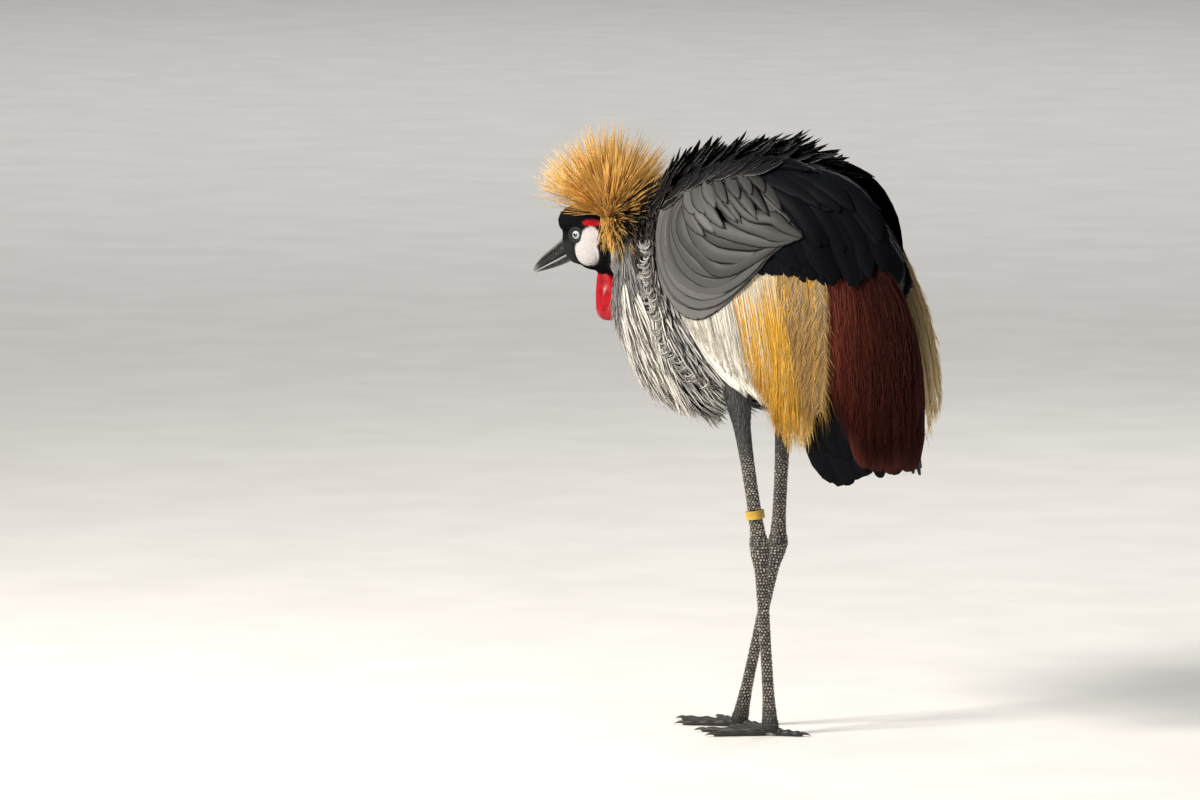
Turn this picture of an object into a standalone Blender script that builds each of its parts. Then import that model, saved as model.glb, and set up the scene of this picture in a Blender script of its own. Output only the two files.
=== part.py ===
"""Grey crowned crane, a still life-size model in a hunched standing pose.

The bird is modelled in its own frame: it faces -X, its left side is -Y, +Z is up, the
body's mid-plane is y = 0 and the floor is z = 0. At the end everything is moved together
so that the origin lies on the floor, under the middle of the whole bird.
"""

import math
import random
from itertools import pairwise
from typing import NamedTuple

import bmesh
import bpy
from mathutils import Matrix, Vector
from mathutils.bvhtree import BVHTree

MM = 0.001
GAP = 0.3 * MM
FAR_OUT = 0.3  # farther from the mid-plane than any feather
HALF_ROOM = 500  # half the side of a cutter that takes away all of one side, in mm

# Body, as ovals across the mid-plane: lower point and upper point (x, z), half width, in mm
BODY_RINGS = (
    ((-118, 398), (-138, 634), 50),
    ((-92, 386), (-105, 656), 63),
    ((-42, 386), (-48, 674), 74),
    ((18, 392), (18, 684), 78),
    ((72, 404), (78, 676), 74),
    ((122, 428), (128, 650), 62),
    ((158, 462), (166, 610), 44),
    ((184, 500), (192, 572), 24),
)
RUMP = (200, 545)
NECK_RINGS = (
    ((-118, 398), (-138, 634), 49),
    ((-142, 402), (-150, 628), 48),
    ((-168, 428), (-158, 622), 44),
    ((-186, 460), (-163, 607), 37),
    ((-189, 490), (-160, 592), 31),
    ((-189, 513), (-164, 584), 26),
    ((-202, 532), (-176, 580), 22),
)
HEAD_RINGS = (
    ((-202, 532), (-176, 580), 21.5),
    ((-219, 532), (-188, 597), 22.5),
    ((-234, 534), (-222, 605), 22.5),
    ((-246, 537), (-248, 603), 19.5),
    ((-255, 539), (-265, 592), 14.5),
    ((-260, 541), (-271, 573), 9.5),
)
UPPER_BILL_RINGS = (
    ((-263.6, 550.6), (-270, 569), 8.2),
    ((-275, 544.5), (-282, 560), 6.6),
    ((-291, 536.9), (-297.5, 548.6), 4.7),
    ((-304, 530.6), (-308.5, 538), 2.8),
)
LOWER_BILL_RINGS = (
    ((-260.5, 541.5), (-263.3, 549.8), 7.6),
    ((-273, 536.5), (-274.8, 543.9), 6.0),
    ((-289, 531.4), (-290.8, 536.4), 4.2),
    ((-302, 527.8), (-303.8, 530.2), 2.2),
)
BILL_TIP = (-315, 525.8)
LOWER_BILL_TIP = (-311.5, 526)
WATTLE_RINGS = (
    ((-222, 530), (-204, 528), 4.5),
    ((-221, 518), (-198, 516), 6.5),
    ((-220, 500), (-194.5, 499), 7.5),
    ((-218, 487), (-194.5, 486), 7.0),
    ((-213, 479), (-198, 478.5), 4.5),
)
WATTLE_TIP = (-205, 475.5)

# Head details: centre (x, distance from the mid-plane, z) and the three half sizes, in mm
CAP = ((-246, 0, 589), (25, 17.5, 17))
CHEEK = ((-221, 17.5, 563), (17, 6.5, 25))
LID = ((-241, 14.6, 575), (10.4, 8.8, 9.2))
LID_OPENING = ((-241, 24.6, 574.6), (6.6, 6.4, 5.8))
NOSTRIL = ((-277, 7.0, 552.5), (4.6, 2.4, 1.5))
MOUTH_SLOT = ((-275, -40, 549.7), (-250, 40, 550.7))
EYE = (-241, 14.6, 575)
EYE_RADIUS = 7.2

# Wings: ovals as above, with the distance of their middle from the mid-plane
WING_RINGS = (
    ((-100, 556), (-96, 604), 13, 56),
    ((-78, 520), (-64, 632), 34, 50),
    ((-38, 488), (-24, 656), 43, 46),
    ((20, 458), (34, 668), 49, 44),
    ((84, 450), (92, 662), 47, 42),
    ((146, 468), (152, 634), 40, 33),
    ((184, 500), (188, 600), 28, 20),
)
WING_TIP = (211, 556)
WING_TIP_OUT = 12
BACK_STRIP = ((-300, -36, 600), (118, 36, 900))  # the back, left to the mantle
TAIL_ROOM = ((150, -32, 280), (260, 32, 532))  # kept free of the wings for the tail
TAIL_RINGS = (
    ((178, 516), (190, 524), 9),
    ((184, 490), (194, 492), 13),
    ((192, 462), (199, 463), 15),
)
TAIL_FEATHERS = 7
TAIL_ROOT = (196, 470)
TAIL_LENGTH = 158
TAIL_SPACING = 2.4
TAIL_BOW = 1.1  # each feather starts this much ahead of the one nearer the middle
TAIL_SHORTENING = 4
TAIL_REARWARD = 0.16
TAIL_FAN = 0.025

# Legs: hip, ankle and foot (x, y, z) in mm, and the foot's heading in degrees towards +Y
LEGS = {
    "left": ((-6, -42, 425), (21, -28, 222), (31, -20, 9), -12),
    "right": ((14, 40, 425), (17, 18, 221), (-41, 26, 9), 6),
}
LEG_SIDES = 10
TIBIA_STEPS = (0, 0.12, 0.32, 0.55, 0.85, 1)
TIBIA_RADII = (15.5, 15, 9.2, 7.6, 7.4, 8.6)
TARSUS_STEPS = (0, 0.05, 0.12, 0.2, 0.5, 0.8, 0.93, 1)
TARSUS_RADII = (9.6, 11.6, 10.6, 7.2, 6.2, 6.3, 7.8, 9.4)
ABOVE_ANKLE = 10
HUB_RISE = 8
HUB_RADII = (9.4, 9.8, 9.0)
TOES = (  # bearing in degrees from the foot's heading, and length
    (-30, 78),
    (0, 96),
    (31, 80),
    (176, 50),
)
TOE_RADII = (6.2, 4.6, 5.2, 3.7, 4.2, 3.0, 1.6)  # hub to claw, with a swelling at each joint
TOE_SIDES = 6
TOE_HEIGHT = 0.62  # height of a toe's middle over the floor, in radii; the rest is cut flat
CLAW_TIP_HEIGHT = 0.4
BELOW_FLOOR = -2
BAND_MIDDLE = 258
BAND_HEIGHT = 10
BAND_RADIUS = 11.2


class Vane(NamedTuple):
    """One kind of feather: sizes in millimetres, turns in degrees.

    Each step of the outline is a share of the length and the share of the width there.
    """

    width: float
    thickness: float
    outline: tuple
    lift: float
    roll: float
    curl: float


BROAD = ((0, 0.5), (0.4, 1.0), (0.85, 0.85))
LANCE = ((0, 0.6), (0.4, 1.0))
PLUME = ((0, 0.5), (0.4, 1.0), (0.8, 0.7))

SCAPULAR = Vane(19, 2.0, BROAD, lift=15, roll=6, curl=-14)
COVERT = Vane(28, 2.0, BROAD, lift=9, roll=11, curl=-9)
TERTIAL = Vane(29, 2.2, BROAD, lift=7, roll=9, curl=-10)
WHITE_COVERT = Vane(30, 2.0, BROAD, lift=7, roll=9, curl=-8)
GOLD_PLUME = Vane(19, 2.0, PLUME, lift=9, roll=14, curl=-10)
SECONDARY = Vane(28, 2.2, BROAD, lift=4, roll=9, curl=-3)
PRIMARY = Vane(26, 2.2, BROAD, lift=14, roll=10, curl=0)
STRAW_PLUME = Vane(13, 2.0, PLUME, lift=7, roll=12, curl=-8)
MANTLE_LOCK = Vane(17, 2.0, LANCE, lift=29, roll=0, curl=-16)
HACKLE = Vane(14, 1.9, LANCE, lift=12, roll=10, curl=-8)
TAIL_FEATHER = Vane(21, 2.2, BROAD, lift=2, roll=0, curl=0)

NAPE_LIFT = 26  # nape hackles stand up more than the others
ROOT_BACK = 7  # how far a vane starts behind the place where it leaves the surface
ROOT_DEPTH = 1.5
VANE_SIDES = 3


class Tier(NamedTuple):
    """A row of vanes on a wing: the line of its roots (x, z) and their lie, front end first."""

    kind: Vane
    first: tuple
    last: tuple
    count: int
    angles: tuple  # 0 is rearward, -90 is down
    lengths: tuple


WING_TIERS = (
    Tier(SCAPULAR, (-56, 628), (74, 658), 5, (-6, -14), (62, 80)),
    Tier(COVERT, (-80, 610), (-97, 566), 3, (-16, -50), (60, 58)),
    Tier(COVERT, (-46, 622), (-82, 544), 5, (-18, -58), (72, 60)),
    Tier(COVERT, (-6, 638), (-50, 544), 5, (-18, -56), (80, 62)),
    Tier(COVERT, (36, 644), (-12, 552), 5, (-20, -50), (84, 66)),
    Tier(TERTIAL, (76, 644), (56, 590), 4, (-18, -24), (96, 84)),
    Tier(TERTIAL, (114, 632), (98, 590), 3, (-30, -24), (100, 92)),
    Tier(TERTIAL, (150, 612), (140, 588), 2, (-46, -30), (80, 74)),
    Tier(WHITE_COVERT, (-70, 522), (56, 550), 5, (-63, -72), (90, 86)),
    Tier(WHITE_COVERT, (-38, 486), (34, 500), 4, (-62, -70), (92, 112)),
    Tier(GOLD_PLUME, (30, 552), (112, 566), 5, (-70, -84), (135, 165)),
    Tier(GOLD_PLUME, (42, 508), (116, 524), 4, (-74, -86), (152, 165)),
    Tier(SECONDARY, (122, 584), (184, 566), 5, (-78, -73), (230, 246)),
    Tier(SECONDARY, (128, 536), (178, 536), 3, (-77, -75), (208, 225)),
    Tier(PRIMARY, (84, 506), (124, 506), 3, (-70, -72), (212, 208)),
)
REAR_STRAW = Tier(STRAW_PLUME, (162, 590), (184, 574), 4, (-82, -70), (150, 180))

MANTLE_ROWS = 12
MANTLE_START = -114
MANTLE_STEP = 19.4
MANTLE_SPREADS = ((-26, -9, 9, 26), (-18, 0, 18))
MANTLE_LENGTHS = (50, 60)

# Hackles round the neck: place along its rings, count, lengths at the front, side and nape
HACKLE_ROWS = (
    (4.3, 9, 0, 0, 26),
    (3.4, 11, 50, 40, 30),
    (2.5, 12, 56, 46, 32),
    (1.6, 12, 62, 48, 32),
    (0.8, 12, 62, 46, 28),
)
# Hackles down the breast's side, ahead of the wing: first and last root (x, z), count, length
FLANK_ROWS = (
    ((-119, 622), (-107, 428), 6, 44),
    ((-96, 502), (-88, 416), 3, 54),
    ((-68, 460), (-56, 408), 3, 56),
)
HACKLE_ANGLE = -62

CREST_ROOT = (-205, 599)
CREST_TUFT_RADIUS = 15
CREST_REACH = 122
CREST_DIRECTIONS = 272  # spread over the whole ball; the fan keeps those that point its way
CREST_LEANS = (-35, 160)
CREST_MOST_SIDEWAYS = 0.84
SPINE_RADII = (1.4, 1.0)
SPINE_SUNK = 4
SPINE_BEND = 1.5
SPINE_CLEARANCE = 2.5
SPINE_CHECKS = 12  # places along a spine where its clearance is measured
TUFT_SHARE = 0.25  # inner part of a spine's way that may pass the crown


class Finish(NamedTuple):
    """Colour, roughness and metallic value of one kind of surface."""

    name: str
    colour: tuple
    roughness: float
    metallic: float = 0.0


PEARL = Finish("pearl_grey_plumage", (0.52, 0.54, 0.56, 1), 0.85)
SLATE = Finish("slate_plumage", (0.05, 0.055, 0.065, 1), 0.7)
WING_GREY = Finish("wing_plumage", (0.16, 0.17, 0.18, 1), 0.7)
TAIL_BLACK = Finish("tail_plumage", (0.015, 0.015, 0.02, 1), 0.6)
GOLD = Finish("golden_bristle", (0.75, 0.42, 0.1, 1), 0.6)
CAP_BLACK = Finish("head_velvet", (0.02, 0.02, 0.022, 1), 0.9)
BILL_HORN = Finish("bill_horn", (0.05, 0.055, 0.06, 1), 0.45)
CRIMSON = Finish("crimson_skin", (0.6, 0.01, 0.015, 1), 0.35)
LEG_SCALE = Finish("leg_scale", (0.035, 0.037, 0.04, 1), 0.6)
EYE_PALE = Finish("eye_pale", (0.6, 0.65, 0.68, 1), 0.1)
BAND_YELLOW = Finish("band_yellow", (0.8, 0.55, 0.05, 1), 0.4)


def clear_scene():
    """Remove whatever the scene holds."""
    for obj in list(bpy.data.objects):
        bpy.data.objects.remove(obj, do_unlink=True)


def material(finish):
    """The material of a finish, made once."""
    found = bpy.data.materials.get(finish.name)
    if found:
        return found
    made = bpy.data.materials.new(finish.name)
    made.use_nodes = True
    shader = made.node_tree.nodes["Principled BSDF"]
    shader.inputs["Base Color"].default_value = finish.colour
    shader.inputs["Roughness"].default_value = finish.roughness
    shader.inputs["Metallic"].default_value = finish.metallic
    return made


def on_plane(place):
    """A mid-plane place (x, z) in millimetres, as a point in metres."""
    return Vector((place[0], 0, place[1])) * MM


def ring_frame(low, high, half_width):
    """The matrix that lays a unit circle on the oval between two mid-plane places."""
    low = on_plane(low)
    high = on_plane(high)
    rise = (high - low) / 2
    across = Vector((0, half_width * MM, 0))
    along = across.cross(rise).normalized()
    return Matrix.Translation((low + high) / 2) @ Matrix((rise, across, along)).transposed().to_4x4()


def round_frame(centre, along, radius):
    """The matrix that lays a unit circle of a radius in millimetres across a run."""
    along = along.normalized()
    side = Vector((0, 1, 0)) if abs(along.y) < 0.8 else Vector((1, 0, 0))
    rise = side.cross(along).normalized()
    side = along.cross(rise)
    axes = Matrix((rise * radius * MM, side * radius * MM, along)).transposed()
    return Matrix.Translation(centre) @ axes.to_4x4()


def add_loft(bm, frames, sides, tip=None):
    """Draw a closed run of scaled circles, with its end pulled out to `tip` if one is given."""
    ring = bmesh.ops.create_circle(bm, cap_ends=True, segments=sides, radius=1, matrix=frames[0])
    face = ring["verts"][0].link_faces[0]
    first = face
    for before, frame in pairwise(frames):
        behind = face
        grown = bmesh.ops.extrude_face_region(bm, geom=[face])["geom"]
        face = next(item for item in grown if isinstance(item, bmesh.types.BMFace))
        bmesh.ops.transform(bm, matrix=frame @ before.inverted(), verts=face.verts)
        if behind is not first:
            bmesh.ops.delete(bm, geom=[behind], context="FACES_ONLY")
    if tip is not None:
        poked = bmesh.ops.poke(bm, faces=[face])
        poked["verts"][0].co = tip


def add_run(bm, points, radii, sides, tip=None):
    """Draw a closed round limb along points, one radius at each."""
    frames = []
    for index, centre in enumerate(points):
        before = points[max(index - 1, 0)]
        after = points[min(index + 1, len(points) - 1)]
        frames.append(round_frame(centre, after - before, radii[index]))
    add_loft(bm, frames, sides, tip)


def new_object(name, bm, finish=None):
    """Turn a bmesh into an object with its faces pointing out."""
    bmesh.ops.recalc_face_normals(bm, faces=bm.faces)
    bmesh.ops.triangulate(bm, faces=bm.faces)
    mesh = bpy.data.meshes.new(name)
    bm.to_mesh(mesh)
    bm.free()
    obj = bpy.data.objects.new(name, mesh)
    bpy.context.scene.collection.objects.link(obj)
    if finish:
        mesh.materials.append(material(finish))
    return obj


def swollen(obj, by=GAP):
    """A copy of an object grown along its normals, to be cut away from a neighbour."""
    bm = bmesh.new()
    bm.from_mesh(obj.data)
    bm.normal_update()
    for vert, move in [(vert, vert.normal * by) for vert in bm.verts]:
        vert.co += move
    return new_object(obj.name + "_swollen", bm)


def combine(target, others, operation):
    """Apply one Boolean between an object and several closed helpers, then remove these."""
    group = bpy.data.collections.new("helpers")
    bpy.context.scene.collection.children.link(group)
    for other in others:
        bpy.context.scene.collection.objects.unlink(other)
        group.objects.link(other)
    boolean = target.modifiers.new("combine", "BOOLEAN")
    boolean.operation = operation
    boolean.operand_type = "COLLECTION"
    boolean.collection = group
    boolean.solver = "EXACT"
    bpy.context.view_layer.update()
    graph = bpy.context.evaluated_depsgraph_get()
    mesh = bpy.data.meshes.new_from_object(target.evaluated_get(graph))
    target.modifiers.clear()
    target.data = mesh
    for other in others:
        bpy.data.objects.remove(other, do_unlink=True)
    bpy.data.collections.remove(group)
    keep_largest(target)


def keep_largest(obj):
    """Keep only the largest closed surface of an object."""
    bm = bmesh.new()
    bm.from_mesh(obj.data)
    waiting = set(bm.verts)
    shells = []
    while waiting:
        shell = set()
        edge = [waiting.pop()]
        while edge:
            vert = edge.pop()
            shell.add(vert)
            near = {link.other_vert(vert) for link in vert.link_edges} & waiting
            waiting -= near
            edge.extend(near)
        shells.append(shell)
    shells.sort(key=len)
    for shell in shells[:-1]:
        bmesh.ops.delete(bm, geom=list(shell), context="VERTS")
    bmesh.ops.triangulate(bm, faces=bm.faces)
    bm.to_mesh(obj.data)
    bm.free()


def egg(name, centre, half_sizes, finish=None, segments=12, rings=8):
    """A closed ball stretched along the axes, with its places in millimetres."""
    place = Matrix.Translation(Vector(centre) * MM)
    size = Matrix.Diagonal((Vector(half_sizes) * MM).to_4d())
    bm = bmesh.new()
    bmesh.ops.create_uvsphere(bm, u_segments=segments, v_segments=rings, radius=1, matrix=place @ size)
    return new_object(name, bm, finish)


def block(name, low, high):
    """A box between two corners in millimetres, as a cutter."""
    low = Vector(low) * MM
    high = Vector(high) * MM
    size = Matrix.Diagonal((high - low).to_4d())
    bm = bmesh.new()
    bmesh.ops.create_cube(bm, size=1, matrix=Matrix.Translation((low + high) / 2) @ size)
    return new_object(name, bm)


def ring_loft(name, rings, sides, finish, tip=None, shift=0.0):
    """A body part lofted through mid-plane ovals, moved forward by `shift`."""
    forward = Matrix.Translation((-shift, 0, 0))
    frames = [forward @ ring_frame(*ring) for ring in rings]
    bm = bmesh.new()
    add_loft(bm, frames, sides, on_plane(tip) if tip else None)
    return new_object(name, bm, finish)


def both_sides(name, detail):
    """A head detail on the left and on the right, as two helpers."""
    (x, out, z), half_sizes = detail
    return [egg(name, (x, side * out, z), half_sizes, None, 8, 6) for side in (-1, 1)]


def tree_of(obj):
    """The surface of an object, for finding places on it."""
    return BVHTree.FromObject(obj, bpy.context.evaluated_depsgraph_get())


def seat_on(tree, outside, inward):
    """The place and the normal where a line from outside meets a surface."""
    place, normal, _, _ = tree.ray_cast(outside, inward)
    if place is None:
        place, normal, _, _ = tree.find_nearest(outside + inward * FAR_OUT)
    return place, normal


def turned(angle, axis):
    """A turn by degrees about an axis."""
    return Matrix.Rotation(math.radians(angle), 3, axis)


def lie(angle):
    """The direction in the side view at an angle, 0 rearward and -90 down."""
    return Vector((math.cos(math.radians(angle)), 0, math.sin(math.radians(angle))))


def make_vane(seat, normal, heading, kind, length):
    """One closed vane that grows out of `seat` along `heading`, with its root sunk in."""
    heading = (heading - normal * heading.dot(normal)).normalized()
    across = heading.cross(normal)
    point = seat - (heading * ROOT_BACK + normal * ROOT_DEPTH) * MM
    frames = []
    passed = 0
    for share, width in kind.outline:
        along = turned(kind.lift + kind.curl * share, across) @ heading
        point = point + along * (share - passed) * length * MM
        passed = share
        side = turned(kind.roll, along) @ across
        rise = side.cross(along)
        across_half = side * kind.width * width / 2 * MM
        axes = Matrix((rise * kind.thickness / 2 * MM, -across_half, along)).transposed()
        frames.append(Matrix.Translation(point) @ axes.to_4x4())
    bm = bmesh.new()
    add_loft(bm, frames, VANE_SIDES, point + along * (1 - passed) * length * MM)
    return new_object("vane", bm)


def between(pair, share):
    """The value at a share of the way from the first to the second of a pair."""
    return pair[0] + (pair[1] - pair[0]) * share


def tier_vanes(tree, tier, side, rng):
    """The vanes of one wing tier."""
    vanes = []
    kind = tier.kind._replace(roll=side * tier.kind.roll)
    for index in range(tier.count):
        share = index / (tier.count - 1)
        x, z = Vector(tier.first).lerp(Vector(tier.last), share) * MM
        seat, normal = seat_on(tree, Vector((x, side * FAR_OUT, z)), Vector((0, -side, 0)))
        heading = lie(between(tier.angles, share) + rng.uniform(-2, 2))
        length = between(tier.lengths, share) * rng.uniform(0.95, 1.05)
        vanes.append(make_vane(seat, normal, heading, kind, length))
    return vanes


def mantle_vanes(torso, rng):
    """The spiky dark feathers that stand up along the back."""
    tree = tree_of(torso)
    vanes = []
    for row in range(MANTLE_ROWS):
        x = (MANTLE_START + row * MANTLE_STEP) * MM
        length = between(MANTLE_LENGTHS, row / (MANTLE_ROWS - 1))
        for spread in MANTLE_SPREADS[row % 2]:
            seat, normal = seat_on(tree, Vector((x, spread * MM, 1)), Vector((0, 0, -1)))
            kind = MANTLE_LOCK._replace(lift=MANTLE_LOCK.lift + rng.uniform(-6, 6))
            vanes.append(make_vane(seat, normal, lie(0), kind, length * rng.uniform(0.85, 1.1)))
    return vanes


def flank_vanes(torso, rng):
    """The hackles down both sides of the breast, ahead of the wings."""
    tree = tree_of(torso)
    vanes = []
    for side in (-1, 1):
        kind = HACKLE._replace(roll=side * HACKLE.roll)
        for first, last, count, length in FLANK_ROWS:
            for index in range(count):
                x, z = Vector(first).lerp(Vector(last), index / (count - 1)) * MM
                seat, normal = seat_on(tree, Vector((x, side * FAR_OUT, z)), Vector((0, -side, 0)))
                heading = lie(HACKLE_ANGLE + rng.uniform(-5, 5))
                vanes.append(make_vane(seat, normal, heading, kind, length * rng.uniform(0.9, 1.1)))
    return vanes


def neck_hackles(neck, rng):
    """The hackles round the neck, row by row from the head down."""
    tree = tree_of(neck)
    locks = []
    for place, count, front, side, nape in HACKLE_ROWS:
        lower, upper = NECK_RINGS[int(place)], NECK_RINGS[int(place) + 1]
        throat = on_plane(lower[0]).lerp(on_plane(upper[0]), place % 1)
        back = on_plane(lower[1]).lerp(on_plane(upper[1]), place % 1)
        forward = (throat - back).normalized()
        for index in range(count):
            bearing = 360 * (index + (place * 0.5) % 1) / count
            turn = min(bearing, 360 - bearing)
            length = front if turn < 55 else side if turn < 125 else nape
            if not length:
                continue
            outward = forward * math.cos(math.radians(bearing))
            outward = outward + Vector((0, math.sin(math.radians(bearing)), 0))
            seat, normal = seat_on(tree, (throat + back) / 2 + outward * FAR_OUT, -outward)
            kind = HACKLE._replace(lift=NAPE_LIFT) if turn > 125 else HACKLE
            heading = lie(HACKLE_ANGLE + rng.uniform(-5, 5))
            locks.append(make_vane(seat, normal, heading, kind, length * rng.uniform(0.88, 1.1)))
    return locks


def make_neck(torso_skin):
    """The bent neck, from the torso's front face up to the head, with its hackles."""
    neck = ring_loft("neck", NECK_RINGS, 20, PEARL, shift=GAP)
    combine(neck, neck_hackles(neck, random.Random(5)), "UNION")
    combine(neck, [swollen(torso_skin)], "DIFFERENCE")
    return neck


def make_head():
    """The head, with its velvet cap, cheeks, lids and the line of the mouth."""
    head = ring_loft("head", HEAD_RINGS, 20, CAP_BLACK, shift=2 * GAP)
    combine(head, [egg("cap", *CAP), *both_sides("cheek", CHEEK), *both_sides("lid", LID)], "UNION")
    combine(head, [block("mouth", *MOUTH_SLOT)], "DIFFERENCE")
    return head


def make_bill(head):
    """Upper bill with its nostrils and lower bill, parted by the line of the mouth."""
    upper = ring_loft("bill_upper", UPPER_BILL_RINGS, 12, BILL_HORN, tip=BILL_TIP, shift=3 * GAP)
    lower = ring_loft("bill_lower", LOWER_BILL_RINGS, 12, BILL_HORN, tip=LOWER_BILL_TIP, shift=3 * GAP)
    combine(upper, [*both_sides("nostril", NOSTRIL), swollen(head)], "DIFFERENCE")
    combine(lower, [swollen(head), swollen(upper)], "DIFFERENCE")
    return [upper, lower]


def make_eyes(head):
    """Both eyes, each in a socket that opens between the lids."""
    x, out, z = EYE
    radius = (EYE_RADIUS,) * 3
    roomy = (EYE_RADIUS + GAP / MM,) * 3
    eyes = []
    sockets = both_sides("lid_opening", LID_OPENING)
    for side, name in ((-1, "eye_left"), (1, "eye_right")):
        centre = (x, side * out, z)
        eyes.append(egg(name, centre, radius, EYE_PALE))
        sockets.append(egg(name + "_socket", centre, roomy))
    combine(head, sockets, "DIFFERENCE")
    return eyes


def make_wattle(head, neck):
    """The crimson wattle under the throat."""
    wattle = ring_loft("wattle", WATTLE_RINGS, 12, CRIMSON, tip=WATTLE_TIP, shift=2 * GAP)
    combine(wattle, [swollen(head), swollen(neck)], "DIFFERENCE")
    return wattle


def spine_headings():
    """Directions spread evenly over the fan of the crest, each with its lean in degrees."""
    golden_turn = math.pi * (3 - math.sqrt(5))
    for index in range(CREST_DIRECTIONS):
        sideways = 1 - 2 * (index + 0.5) / CREST_DIRECTIONS
        ring = math.sqrt(1 - sideways * sideways)
        turn = index * golden_turn
        heading = Vector((ring * math.cos(turn), sideways, ring * math.sin(turn)))
        lean = math.degrees(math.atan2(heading.z, heading.x))
        if CREST_LEANS[0] < lean < CREST_LEANS[1] and abs(sideways) < CREST_MOST_SIDEWAYS:
            yield lean, heading


def runs_clear(trees, root, tip):
    """Whether a spine's outer part keeps clear of everything round the crest."""
    outer = root.lerp(tip, TUFT_SHARE)
    for tree in trees:
        if tree.ray_cast(outer, tip - outer, (tip - outer).length)[0] is not None:
            return False
        for step in range(SPINE_CHECKS):
            place = outer.lerp(tip, step / (SPINE_CHECKS - 1))
            if tree.find_nearest(place)[3] < SPINE_CLEARANCE * MM:
                return False
    return True


def make_spine(centre, heading, reach):
    """One bristle of the crest, bent a little upward."""
    root = centre + heading * (CREST_TUFT_RADIUS - SPINE_SUNK) * MM
    tip = centre + heading * reach * MM
    middle = root.lerp(tip, 0.5) + Vector((0, 0, SPINE_BEND * MM))
    frames = [round_frame(root, heading, SPINE_RADII[0]), round_frame(middle, heading, SPINE_RADII[1])]
    bm = bmesh.new()
    add_loft(bm, frames, VANE_SIDES, tip)
    return new_object("spine", bm)


def make_crest(head, neighbours):
    """The crest bristle by bristle, fanned out of a low tuft on the crown."""
    rng = random.Random(11)
    centre = on_plane(CREST_ROOT)
    tuft = (CREST_TUFT_RADIUS,) * 3
    crest = egg("crest", centre / MM, tuft, GOLD)
    trees = [tree_of(other) for other in neighbours]
    spines = []
    for lean, heading in spine_headings():
        rise = math.sin(math.radians(max(lean, 10)))
        reach = CREST_REACH * (0.8 + 0.2 * rise) * rng.uniform(0.88, 1.03)
        if runs_clear(trees, centre, centre + heading * reach * MM):
            spines.append(make_spine(centre, heading, reach))
    combine(crest, spines, "UNION")
    combine(crest, [swollen(head)], "DIFFERENCE")


def make_wing(side, name, torso_skin):
    """One folded wing: a thin core over the flank, and its tiers of vanes."""
    frames = []
    for low, high, half_width, out in WING_RINGS:
        frames.append(Matrix.Translation((0, side * out * MM, 0)) @ ring_frame(low, high, half_width))
    bm = bmesh.new()
    add_loft(bm, frames, 14, on_plane(WING_TIP) + Vector((0, side * WING_TIP_OUT * MM, 0)))
    wing = new_object(name, bm, WING_GREY)
    tree = tree_of(wing)
    rng = random.Random(7)
    vanes = []
    for tier in WING_TIERS + (REAR_STRAW,) if side > 0 else WING_TIERS:
        vanes.extend(tier_vanes(tree, tier, side, rng))
    combine(wing, vanes, "UNION")
    near, far = sorted((side * GAP / MM, -side * HALF_ROOM))
    other_side = block("other_side", (-HALF_ROOM, near, 0), (HALF_ROOM, far, 2 * HALF_ROOM))
    rooms = [other_side, block("back_strip", *BACK_STRIP), block("tail_room", *TAIL_ROOM)]
    combine(wing, [swollen(torso_skin), *rooms], "DIFFERENCE")
    return wing


def make_tail(torso_skin):
    """The tail feathers, hanging in a fan from a short root between the wings."""
    tail = ring_loft("tail", TAIL_RINGS, 12, TAIL_BLACK)
    vanes = []
    for index in range(TAIL_FEATHERS):
        place = index - (TAIL_FEATHERS - 1) / 2
        seat = on_plane((TAIL_ROOT[0] - abs(place) * TAIL_BOW, TAIL_ROOT[1]))
        seat.y = place * TAIL_SPACING * MM
        heading = Vector((TAIL_REARWARD, place * TAIL_FAN, -1))
        length = TAIL_LENGTH - abs(place) * TAIL_SHORTENING
        vanes.append(make_vane(seat, Vector((1, 0, 0)), heading, TAIL_FEATHER, length))
    combine(tail, vanes, "UNION")
    combine(tail, [swollen(torso_skin)], "DIFFERENCE")


def make_leg(side_name, torso_skin):
    """Tibia, tarsus and foot of one leg."""
    hip, ankle, foot = (Vector(place) * MM for place in LEGS[side_name][:3])
    shin = (ankle - hip).normalized()
    tibia_end = ankle - shin * ABOVE_ANKLE * MM
    bm = bmesh.new()
    add_run(bm, [hip.lerp(tibia_end, step) for step in TIBIA_STEPS], TIBIA_RADII, LEG_SIDES)
    tibia = new_object("tibia_" + side_name, bm, LEG_SCALE)
    combine(tibia, [swollen(torso_skin)], "DIFFERENCE")

    top = tibia_end + shin * GAP
    bottom = foot + Vector((0, 0, HUB_RISE * MM))
    axis = (foot - top).normalized()
    frames = [round_frame(top, shin, TARSUS_RADII[0])]
    for step, radius in zip(TARSUS_STEPS[1:-1], TARSUS_RADII[1:-1]):
        frames.append(round_frame(top.lerp(foot, step), axis, radius))
    frames.append(round_frame(bottom, Vector((0, 0, -1)), TARSUS_RADII[-1]))
    bm = bmesh.new()
    add_loft(bm, frames, LEG_SIDES)
    new_object("tarsus_" + side_name, bm, LEG_SCALE)
    make_foot(side_name, bottom.z - GAP)
    return tibia


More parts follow.
